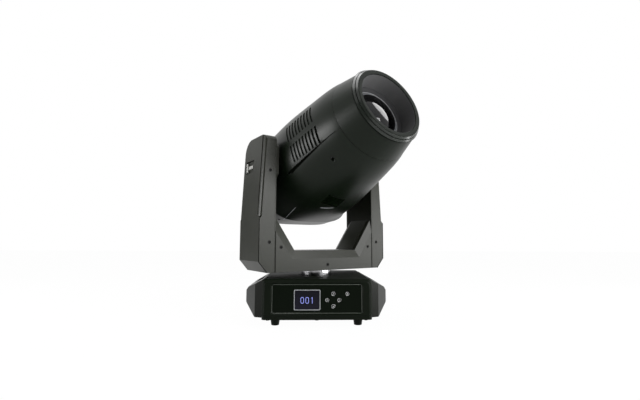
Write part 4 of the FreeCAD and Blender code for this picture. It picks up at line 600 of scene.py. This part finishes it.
# ---- panel ---------------------------------------------------------------------------------
def rounded_outline(half_w, half_h, radius, steps=8):
    """Rectangle with round corners about the origin, as (across, up) points."""
    points = []
    for quarter, (sx, sz) in enumerate(((1, 1), (-1, 1), (-1, -1), (1, -1))):
        for i in range(steps + 1):
            angle = math.pi / 2 * (quarter + i / steps)
            points.append((sx * (half_w - radius) + radius * math.cos(angle),
                           sz * (half_h - radius) + radius * math.sin(angle)))
    return points


def bridge(bm, loops):
    """Faces between each loop of corners and the next one."""
    for a, b in zip(loops, loops[1:]):
        for i in range(len(a)):
            j = (i + 1) % len(a)
            bm.faces.new((a[i], a[j], b[j], b[i]))


def outline_ring(name, outer, inner, centre, back, front, finish):
    """Flat ring between two outlines in the panel's plane, a little thick."""
    bm = bmesh.new()
    loops = []
    for points, y in ((outer, back), (outer, front), (inner, front), (inner, back)):
        loops.append([bm.verts.new((centre[0] + x, y, centre[1] + z)) for x, z in points])
    bridge(bm, loops + loops[:1])
    bmesh.ops.recalc_face_normals(bm, faces=bm.faces)
    return to_object(name, bm, finish)


def plate(bm, points, back, front):
    """Flat plate with an outline in the panel's plane."""
    rear = [bm.verts.new((x, back, z)) for x, z in points]
    face = [bm.verts.new((x, front, z)) for x, z in points]
    count = len(points)
    bm.faces.new(face)
    bm.faces.new(list(reversed(rear)))
    for i in range(count):
        j = (i + 1) % count
        bm.faces.new((rear[i], rear[j], face[j], face[i]))
    bmesh.ops.recalc_face_normals(bm, faces=bm.faces)


def display_details():
    """Frame round the display, and its three lit digits."""
    low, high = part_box("display_window")
    centre = ((low.x + high.x) / 2, (low.z + high.z) / 2)
    half_w, half_h = (high.x - low.x) / 2, (high.z - low.z) / 2
    face = low.y
    line = 1.3 * MM
    outer = rounded_outline(half_w, half_h, 2.5 * MM)
    inner = rounded_outline(half_w - line, half_h - line, 1.6 * MM)
    ring = outline_ring("display_frame", outer, inner, centre, face + 0.2 * MM, face - 0.25 * MM,
                        PRINT_AND_HIGHLIGHT_GREY)
    own_piece(ring, "root")

    low_by, stroke = 0.9 * MM, 1.0 * MM
    half, rise = 3.9 * MM, 7.4 * MM
    zero_outer = rounded_outline(half, rise, half * 0.98)
    zero_inner = rounded_outline(half - stroke, rise - stroke, (half - stroke) * 0.98)
    for name, shift in (("display_digit_left", DIGIT_LEFT), ("display_digit_middle", DIGIT_MIDDLE)):
        middle = (centre[0] + shift, centre[1] - low_by)
        own_piece(outline_ring(name, zero_outer, zero_inner, middle,
                               face + DIGIT_SUNK, face - DIGIT_PROUD, DIGITS), "root")
    bm = bmesh.new()
    stem, flag = stroke / 2, 2.6 * MM
    one = [(stem, rise), (-stem * 0.4, rise), (-flag, rise - flag * 0.75),
           (-flag, rise - flag * 1.25), (-stem, rise - flag * 0.5), (-stem, -rise), (stem, -rise)]
    plate(bm, [(centre[0] + DIGIT_RIGHT + u, centre[1] - low_by + v) for u, v in one],
          face + DIGIT_SUNK, face - DIGIT_PROUD)
    own_piece(to_object("display_digit_right", bm, DIGITS), "root")


def key_details():
    """Printed ring and raised sign on the cap of each key."""
    recipe = ring_recipe(WHITE_PRINT)
    signs = {"up": 90.0, "down": -90.0, "left": 180.0, "right": 0.0}
    for key in ("up", "down", "left", "right", "enter"):
        low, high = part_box("menu_button_" + key)
        x, z, top = (low.x + high.x) / 2, (low.z + high.z) / 2, low.y
        ring = recipe.make("key_ring_" + key, [((x, top, z), (0.0, -1.0, 0.0))],
                           {"Radius": 4.0 * MM, "Width": 0.62 * MM, "Height": 0.3 * MM})
        own_piece(ring, "button_" + key)
        bm = bmesh.new()
        if key in signs:
            turn = math.radians(signs[key])
            shape = [(1.1, 0.0), (-0.6, 1.0), (-0.6, -1.0)]
            points = [(x + MM * (u * math.cos(turn) - v * math.sin(turn)),
                       z + MM * (u * math.sin(turn) + v * math.cos(turn))) for u, v in shape]
        else:
            stem = [(1.0, 1.0), (1.0, -0.5), (-0.4, -0.5), (-0.4, -1.1), (-1.3, -0.2), (-0.4, 0.7),
                    (-0.4, 0.1), (0.5, 0.1), (0.5, 1.0)]
            points = [(x + MM * u, z + MM * v) for u, v in stem]
        plate(bm, points, top + SIGN_HALF_T, top - SIGN_HALF_T)
        own_piece(to_object("key_sign_" + key, bm, WHITE_PRINT), "button_" + key)


# ---- lens and hood -------------------------------------------------------------------------
def turned_loops(bm, profile, steps):
    """A profile of (distance ahead, radius) corners, repeated about the head's axis."""
    loops = []
    for i in range(steps):
        angle = 2 * math.pi * i / steps
        loops.append([bm.verts.new(HEAD @ Vector((radius * MM * math.cos(angle), -ahead * MM,
                                                  radius * MM * math.sin(angle))))
                      for ahead, radius in profile])
    return loops


def turned_solid(name, profile, finish, steps=144):
    """Solid turned about the head's axis: its profile starts and ends on the axis."""
    bm = bmesh.new()
    poles = [bm.verts.new(HEAD @ Vector((0.0, -profile[i][0] * MM, 0.0))) for i in (0, -1)]
    loops = turned_loops(bm, profile[1:-1], steps)
    for a, b in zip(loops, loops[1:] + loops[:1]):
        bm.faces.new((poles[0], a[0], b[0]))
        for i in range(len(a) - 1):
            bm.faces.new((a[i], a[i + 1], b[i + 1], b[i]))
        bm.faces.new((a[-1], poles[1], b[-1]))
    bmesh.ops.recalc_face_normals(bm, faces=bm.faces)
    mark_edges(bm)
    piece = to_object(name, bm, finish)
    eased(piece, 0.3 * MM, 2)
    return piece


def turned(name, profile, finish, steps=144):
    """Ring turned about the head's axis."""
    bm = bmesh.new()
    loops = turned_loops(bm, profile, steps)
    bridge(bm, loops + loops[:1])
    bmesh.ops.recalc_face_normals(bm, faces=bm.faces)
    mark_edges(bm)
    return to_object(name, bm, finish)


def dome(edge_at, edge_r, crown, steps=14):
    """Corners of a bulging face, from its edge to the axis."""
    bulge = (edge_r ** 2 + crown ** 2) / (2 * crown)
    sweep = math.asin(edge_r / bulge)
    return [(edge_at + crown - bulge * (1 - math.cos(sweep * (1 - i / steps))),
             bulge * math.sin(sweep * (1 - i / steps))) for i in range(steps + 1)]


def front_optics():
    """Front lens with a grey band on its edge that paints in the glow of the glass there, its ring and stepped
    seat, and the hood's lining.
    """
    crown = dome(LENS_EDGE, LENS_R, LENS_CROWN)
    lens = turned_solid("front_lens_dressed", [(LENS_BACK, 0.0), (LENS_BACK, LENS_R)] + crown,
                        FINISHES["lens"])
    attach(lens, "head")
    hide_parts("front_lens")
    seat = turned("lens_seat", [(252.0, 76.0), (267.7, 76.0), (267.7, 72.6), (266.9, 71.8),
                                (266.9, 70.4), (265.3, 69.8), (265.3, 68.2), (264.0, 67.6),
                                (264.0, 66.4), (262.7, 65.8), (262.7, 62.6), (252.0, 62.6)],
                  SEAT_BLACK)
    eased(seat, 0.25 * MM, 2)
    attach(seat, "head")
    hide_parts("lens_retainer")
    ring = turned("lens_ring", [(262.3, 62.4), (262.3, 64.0), (263.1, 64.0), (263.3, 63.7),
                                (263.3, 62.7), (263.1, 62.4)], RING_GREY)
    eased(ring, 0.15 * MM, 2)
    own_piece(ring, "head")
    # A grey band laid on the lens's edge: painted glow of the glass there.
    skin = crown[1:3]
    edge = turned("lens_edge_glow",
                  [(262.35, 62.35)] + [(ahead + 0.1, radius + 0.15) for ahead, radius in skin]
                  + [(ahead - 0.2, radius - 0.2) for ahead, radius in reversed(skin)]
                  + [(262.2, 61.9)], LENS_EDGE_GLOW)
    eased(edge, 0.04 * MM, 1)
    own_piece(edge, "head")
    lining = turned("hood_lining", [(268.4, 73.55), (268.4, 73.15), (309.4, 76.65), (309.4, 77.05)],
                    HOOD_LINING)
    eased(lining, 0.08 * MM, 2)
    own_piece(lining, "head")


def rim_bands():
    """Two gloss bands on the rim's slope, either side of its fine line."""
    run = math.dist(SLOPE_START, SLOPE_END)
    along = [(end - start) / run for start, end in zip(SLOPE_START, SLOPE_END)]
    across = (-along[1], along[0])
    for name, start, end in (("rim_band_back", 0.9, 6.2), ("rim_band_front", 8.1, 13.4)):
        corners = [[SLOPE_START[i] + along[i] * t + across[i] * h for i in (0, 1)]
                   for t, h in ((start, -0.2), (start, 0.12), (end, 0.12), (end, -0.2))]
        band = turned(name, corners, RIM_GLOSS)
        eased(band, 0.1 * MM, 2)
        own_piece(band, "head")


# ---- head trim -----------------------------------------------------------------------------
def on_head(ahead, height, sign):
    """Point and outward direction on the head covers' side, at a distance ahead and a height."""
    start = HEAD @ Vector((sign * OUTSIDE, -ahead * MM, height * MM))
    way = HEAD.to_3x3() @ Vector((-sign, 0.0, 0.0))
    best = None
    for node in ("head_top_cover", "head_bottom_cover"):
        hit, place, normal, _ = NODES[node].ray_cast(start, way)
        if hit and (best is None or (place - start).length < (best[0] - start).length):
            best = (place, normal)
    return best


def louvre_blades():
    """Slanted blades in the louvres: one unit blade on the middle of each half slot."""
    recipe = Recipe("louvre blade", {"Depth": "Float", "Thickness": "Float", "Slant": "Float"})
    given = recipe.given
    size = recipe.node("ShaderNodeCombineXYZ", {}, {"X": given["Depth"], "Y": given["Thickness"],
                                                    "Z": 1.0})
    blade = recipe.node("GeometryNodeMeshCube", {}, {"Size": size})
    lean = recipe.node("ShaderNodeCombineXYZ", {}, {"Z": given["Slant"]})
    blade = recipe.node("GeometryNodeTransform", {}, {"Geometry": blade, "Rotation": lean})
    along, outward, stretch = (recipe.node("GeometryNodeInputNamedAttribute",
                                           {"data_type": "FLOAT_VECTOR"}, {"Name": name})
                               for name in ("along", "outward", "stretch"))
    turn = recipe.node("FunctionNodeAxesToRotation", {"primary_axis": "Z", "secondary_axis": "X"},
                       {"Primary Axis": along, "Secondary Axis": outward})
    recipe.close(recipe.node("GeometryNodeInstanceOnPoints", {},
                             {"Points": given["Geometry"], "Instance": blade, "Rotation": turn,
                              "Scale": stretch}), LOUVRE_PLASTIC)
    places = {"along": [], "outward": [], "stretch": []}
    middles = []
    gap = LOUVRE_PITCH / 2
    for low, high, lean_top in LOUVRE_ROWS:
        for i, sign in itertools.product(range(LOUVRE_COUNT), (-1.0, 1.0)):
            ahead = LOUVRE_AT + i * LOUVRE_PITCH
            ends = []
            for part in (0.0, 0.5, 1.0):
                spot = ahead + LOUVRE_W / 2 + lean_top * part
                found = on_head(spot + gap, low + (high - low) * part, sign)
                ends.append(found[0] - HEAD.to_3x3() @ Vector((0.0, -gap * MM, 0.0)))
            for a, b in zip(ends, ends[1:]):
                way = b - a
                side = HEAD.to_3x3() @ Vector((sign, 0.0, 0.0))
                side = (side - side.project(way)).normalized()
                middles.append((a + b) / 2 - side * BLADE_SUNK * MM)
                places["along"].append(way.normalized())
                places["outward"].append(side)
                places["stretch"].append((1.0, 1.0, way.length * BLADE_OVERLAP))
    mesh = bpy.data.meshes.new("louvre_blades")
    mesh.from_pydata(middles, [], [])
    for label, vectors in places.items():
        give_vectors(mesh, label, vectors)
    piece = recipe.run("louvre_blades", mesh, {"Depth": 5.4 * MM, "Thickness": 0.9 * MM,
                                               "Slant": math.radians(-60.0)})
    own_piece(piece, "head")


def beside_slit(ahead, height, sign, step):
    """First point on the head's side at a height, or past it where an opening is in the way."""
    found = on_head(ahead, height, sign)
    while found is None:
        height += step
        found = on_head(ahead, height, sign)
    return found[0]


def side_strip(name, sign, stations, finish, proud=0.18, sunk=0.6):
    """Thin strip laid on the head's side. Each station: distance ahead, lower and upper height."""
    bm = bmesh.new()
    loops = []
    side = HEAD.to_3x3() @ Vector((sign, 0.0, 0.0))
    for ahead, low, high in stations:
        a = beside_slit(ahead, low, sign, -SLIT_SEARCH)
        b = beside_slit(ahead, high, sign, SLIT_SEARCH)
        loops.append([bm.verts.new(a + side * proud * MM), bm.verts.new(b + side * proud * MM),
                      bm.verts.new(b - side * sunk * MM), bm.verts.new(a - side * sunk * MM)])
    bridge(bm, loops)
    bm.faces.new(loops[0])
    bm.faces.new(loops[-1])
    bmesh.ops.recalc_face_normals(bm, faces=bm.faces)
    own_piece(to_object(name, bm, finish), "head")


# ---- yoke trim -----------------------------------------------------------------------------
def line_recipe(name, finish):
    """Thin round line along every given path."""
    recipe = Recipe(name, {"Radius": "Float"})
    path = recipe.node("GeometryNodeMeshToCurve", {}, {0: recipe.given["Geometry"]})
    section = recipe.node("GeometryNodeCurvePrimitiveCircle", {},
                          {"Resolution": 8, "Radius": recipe.given["Radius"]})
    recipe.close(recipe.node("GeometryNodeCurveToMesh", {},
                             {"Curve": path, "Profile Curve": section, "Fill Caps": True}), finish)
    return recipe


def arm_seams():
    """Dark joint line along each arm's lower front corner, as a thin tube let into the edge."""
    recipe = line_recipe("seam line", SEAM_AND_SHADOW_BLACK)
    corners = [(175.0, 108.0), (198.0, 135.0), (198.0, 236.0)]
    joint = [(154.0, 108.5), (154.0, 207.0)]
    points, edges = [], []
    for path, sign in itertools.product((corners, joint), (-1.0, 1.0)):
        start = len(points)
        points += [YOKE @ Vector((sign * x * MM, -55.0 * MM, z * MM)) for x, z in path]
        edges += [(start + i, start + i + 1) for i in range(len(path) - 1)]
    own_piece(recipe.follow("arm_seams", points, edges, {"Radius": 0.9 * MM}), "yoke")


# ---- head and base trim --------------------------------------------------------------------
def head_trim():
    """Painted shadow strip along each side slit where the step's shade falls, deepest at its rear; name plate with
    its printed line, and painted highlight lines along the belly's creases underneath.
    """
    stations = []
    for i in range(STEP_SHADOW_COUNT):
        ahead = STEP_SHADOW_START + STEP_SHADOW_SPACING * i
        top = SLIT_Z + SLIT_RISE * (ahead - SLIT_START)
        opening = SLIT_OPEN * (SLIT_END - ahead) / (SLIT_END - SLIT_START)
        depth = max(opening + STEP_SHADOW_MARGIN, (SLIT_END - ahead) * STEP_SHADOW_TAPER)
        stations.append((ahead, top - depth, top + STEP_SHADOW_LAP))
    for side, sign in (("left", -1.0), ("right", 1.0)):
        # Painted shadow: a dark strip laid along the slit where the step's shade falls.
        side_strip(side + "_louvre_step_shadow", sign, stations, SEAM_AND_SHADOW_BLACK)
    wrapped_strip("name_plate", [(56.0, -111.0, -91.0), (94.0, -111.0, -91.0)], 0.5,
                  FINISHES["panel"])
    wrapped_strip("name_plate_line", [(36.0 + 2.3 * i, -107.0 + 2.4 * i, -104.6 + 2.4 * i)
                                      for i in range(6)], 0.3, PRINT_AND_HIGHLIGHT_GREY)
    # Painted highlights: light lines along the belly's creases.
    wrapped_strip("belly_crease_highlight_left", [(-84.0, -124.2, -123.7), (-8.0, -125.9, -125.4)], 0.2,
                  PRINT_AND_HIGHLIGHT_GREY)
    wrapped_strip("belly_crease_highlight_right", [(-84.0, -56.3, -55.8), (-8.0, -54.6, -54.1)], 0.2,
                  PRINT_AND_HIGHLIGHT_GREY)


def around_head(ahead, angle):
    """Point on the head's skin, seen from outside at an angle round its axis."""
    way = Vector((math.cos(math.radians(angle)), 0.0, math.sin(math.radians(angle))))
    start = HEAD @ (way * OUTSIDE + Vector((0.0, -ahead * MM, 0.0)))
    hits = [NODES[node].ray_cast(start, -(HEAD.to_3x3() @ way))
            for node in ("head_top_cover", "head_bottom_cover")]
    places = [place for hit, place, _, _ in hits if hit]
    return min(places, key=lambda place: (place - start).length), HEAD.to_3x3() @ way


def wrapped_strip(name, ends, proud, finish, sunk=0.8, across=10, along=6):
    """Thin plate that follows the head's skin between two or more (ahead, angle, angle) ends."""
    stations = []
    for a, b in zip(ends, ends[1:]):
        stations += [[x + (y - x) * i / along for x, y in zip(a, b)] for i in range(along)]
    stations.append(list(ends[-1]))
    bm = bmesh.new()
    sheets = []
    for height in (proud, -sunk):
        sheet = []
        for ahead, first, last in stations:
            row = []
            for i in range(across + 1):
                place, way = around_head(ahead, first + (last - first) * i / across)
                row.append(bm.verts.new(place + way * height * MM))
            sheet.append(row)
        sheets.append(sheet)
    for sheet in sheets:
        for a, b in zip(sheet, sheet[1:]):
            for i in range(across):
                bm.faces.new((a[i], a[i + 1], b[i + 1], b[i]))
    top, under = sheets
    for a, b, c, d in ([(top[k][i], top[k + 1][i], under[k + 1][i], under[k][i])
                        for k in range(len(top) - 1) for i in (0, across)]
                       + [(top[k][i], top[k][i + 1], under[k][i + 1], under[k][i])
                          for k in (0, -1) for i in range(across)]):
        bm.faces.new((a, b, c, d))
    bmesh.ops.recalc_face_normals(bm, faces=bm.faces)
    mark_edges(bm)
    piece = to_object(name, bm, finish)
    eased(piece, 0.15 * MM, 2)
    own_piece(piece, "head")


def panel_lip():
    """Fine bead round the front panel, in a lighter grey that paints in the highlight along its edge."""
    low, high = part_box("front_panel")
    recipe = line_recipe("panel lip", PANEL_LIP_HIGHLIGHT)
    y = low.y - 0.2 * MM
    corners = [(low.x, y, low.z), (high.x, y, low.z), (high.x, y, high.z), (low.x, y, high.z)]
    own_piece(recipe.follow("panel_lip", corners, [(0, 1), (1, 2), (2, 3), (3, 0)],
                            {"Radius": 0.8 * MM}), "root")


# ---- stage ---------------------------------------------------------------------------------
CAMERA_AT = (-0.0204, -1.0585, 0.1871)
CAMERA_YAW, CAMERA_PITCH, CAMERA_ROLL = -0.029, 0.104, 0.003
CAMERA_SENSOR, CAMERA_LENS = 36.0, 21.43
STAGE_MIDDLE = (0.0, 0.0, 0.3)
LENS_AT = Vector((0.145, -0.224, 0.470))
LENS_LAMP_WAY, LENS_LAMP_FAR = Vector((0.707, 0.189, 0.682)), 1.45


def stage_floor():
    """Pale floor under the feet: white to the eye, with a soft trace of the shadow."""
    bm = bmesh.new()
    bmesh.ops.create_grid(bm, x_segments=1, y_segments=1, size=6.0)
    bmesh.ops.translate(bm, verts=bm.verts, vec=(0.0, 0.0, BOX_AT_LOAD[0].z))
    floor = to_object("floor", bm)
    material = bpy.data.materials.new("pale floor")
    material.use_nodes = True
    tree = material.node_tree
    tree.nodes.clear()
    output = tree.nodes.new("ShaderNodeOutputMaterial")
    diffuse = tree.nodes.new("ShaderNodeBsdfDiffuse")
    diffuse.inputs["Color"].default_value = rgb(0.85, 0.85, 0.85)
    white = tree.nodes.new("ShaderNodeEmission")
    mix = tree.nodes.new("ShaderNodeMixShader")
    seen = seen_factor(tree)
    share = tree.nodes.new("ShaderNodeMath")
    share.operation = "MULTIPLY"
    share.inputs[1].default_value = 0.98
    tree.links.new(seen, share.inputs[0])
    tree.links.new(share.outputs[0], mix.inputs[0])
    tree.links.new(diffuse.outputs[0], mix.inputs[1])
    tree.links.new(white.outputs[0], mix.inputs[2])
    tree.links.new(mix.outputs[0], output.inputs["Surface"])
    floor.data.materials.append(material)


def seen_factor(tree):
    """1 for camera, mirror and glass rays, 0 for the rest."""
    path = tree.nodes.new("ShaderNodeLightPath")
    total = path.outputs["Is Camera Ray"]
    for ray in ("Is Glossy Ray", "Is Transmission Ray"):
        most = tree.nodes.new("ShaderNodeMath")
        most.operation = "MAXIMUM"
        tree.links.new(total, most.inputs[0])
        tree.links.new(path.outputs[ray], most.inputs[1])
        total = most.outputs[0]
    return total


def surround(diffuse_level):
    """White to the eye and in reflections, dimmer for soft light."""
    world = bpy.data.worlds.new("studio")
    bpy.context.scene.world = world
    world.use_nodes = True
    tree = world.node_tree
    tree.nodes.clear()
    output = tree.nodes.new("ShaderNodeOutputWorld")
    background = tree.nodes.new("ShaderNodeBackground")
    mix = tree.nodes.new("ShaderNodeMix")
    mix.data_type = "RGBA"
    tree.links.new(seen_factor(tree), mix.inputs[0])
    mix.inputs[6].default_value = rgb(diffuse_level, diffuse_level, diffuse_level)
    mix.inputs[7].default_value = rgb(1.0, 1.0, 1.0)
    tree.links.new(mix.outputs[2], background.inputs["Color"])
    tree.links.new(background.outputs[0], output.inputs["Surface"])


def dark_wall(name, at, target, width, height):
    """Unlit side of the studio. Only reflections meet it."""
    bm = bmesh.new()
    bmesh.ops.create_grid(bm, x_segments=1, y_segments=1, size=0.5)
    away = (Vector(target) - Vector(at)).normalized()
    across = away.cross(UP).normalized()
    bmesh.ops.transform(bm, verts=bm.verts,
                        matrix=placing(across * width, across.cross(away) * height, away, at))
    wall = to_object(name, bm)
    finish = Finish(name.replace("_", " "), {"Specular IOR Level": 0.0, "Roughness": 1.0})
    finish.feed("Base Color", finish.blend(finish.noise(2.0), rgb(0.010, 0.010, 0.010),
                                           rgb(0.016, 0.016, 0.016)))
    wall.data.materials.append(finish.material)
    wall.visible_camera = wall.visible_diffuse = wall.visible_transmission = False
    wall.visible_shadow = False


def softbox(name, at, target, level, width, height, shape="RECTANGLE", only_reflected=False):
    """Flat lamp. Its level is the brightness of its face, where 1 is white."""
    area = width * height * (math.pi / 4 if shape == "ELLIPSE" else 1.0)
    light = bpy.data.lights.new(name, "AREA")
    light.shape, light.size, light.size_y = shape, width, height
    light.energy = level * math.pi * area
    lamp = bpy.data.objects.new(name, light)
    lamp.location = at
    lamp.rotation_euler = (Vector(target) - Vector(at)).to_track_quat("-Z", "Y").to_euler()
    bpy.context.scene.collection.objects.link(lamp)
    lamp.visible_diffuse = not only_reflected


def viewpoint():
    """Camera near the height of the base, looking slightly up."""
    yaw, pitch, roll = CAMERA_YAW, CAMERA_PITCH, CAMERA_ROLL

    def aim(x, y, z):
        x3 = math.cos(roll) * x - math.sin(roll) * z
        z2 = math.sin(roll) * x + math.cos(roll) * z
        y3 = math.cos(pitch) * y - math.sin(pitch) * z2
        z3 = math.sin(pitch) * y + math.cos(pitch) * z2
        return Vector((math.cos(yaw) * x3 - math.sin(yaw) * y3,
                       math.sin(yaw) * x3 + math.cos(yaw) * y3, z3))

    data = bpy.data.cameras.new("camera")
    data.sensor_width, data.lens = CAMERA_SENSOR, CAMERA_LENS
    camera = bpy.data.objects.new("camera", data)
    camera.matrix_world = placing(aim(1, 0, 0), aim(0, 0, 1), -aim(0, 1, 0), CAMERA_AT)
    bpy.context.scene.collection.objects.link(camera)
    bpy.context.scene.camera = camera


# ---- the whole object ----------------------------------------------------------------------
# CAD nodes that get eased edges, and how wide the easing is in millimetres.
DRESSED = {
    "base_tray": 0.6, "base_cover": 0.8, "front_bezel": 0.7, "front_panel": 0.3,
    "rear_panel": 0.3, "left_handle": 5.0, "right_handle": 5.0, "crossbar_front_cover": 0.9,
    "crossbar_rear_cover": 0.9, "crossbar_liner": 0.5, "left_arm_cover": 0.9,
    "right_arm_cover": 0.9, "arm_inner_plates": 0.8, "rim_ring": 0.5, "head_front_shell": 0.5,
    "tilt_lock_slider": 0.4, "rubber_feet": 0.5, "display_window": 0.3,
}


def build():
    paint_cad()
    for node, width in DRESSED.items():
        dressed(node, width)
    socket_screws()
    display_details()
    key_details()
    front_optics()
    rim_bands()
    louvre_blades()
    head_trim()
    arm_seams()
    panel_lip()
    stage_floor()
    dark_wall("dark_wall_front", (-0.5, -2.3, 0.75), (-0.5, 0.0, 0.75), 3.4, 1.9)
    dark_wall("dark_wall_left", (-1.55, 1.05, 0.35), STAGE_MIDDLE, 0.62, 0.9)
    surround(0.35)
    softbox("front right box", (1.16, -1.16, 0.80), STAGE_MIDDLE, 12.5, 0.95, 0.90)
    softbox("low right box", (1.42, -0.34, 0.20), STAGE_MIDDLE, 8.0, 1.45, 0.42)
    softbox("left box", (-1.87, -0.40, 0.42), STAGE_MIDDLE, 13.0, 1.0, 0.7)
    softbox("top box", (-0.2, -0.1, 1.95), STAGE_MIDDLE, 4.0, 1.2, 1.2)
    softbox("lens lamp", LENS_AT + LENS_LAMP_WAY * LENS_LAMP_FAR, LENS_AT, 8.5, 0.90, 1.02,
            "ELLIPSE", only_reflected=True)
    viewpoint()
    bpy.context.scene.view_settings.view_transform = "Standard"


build()
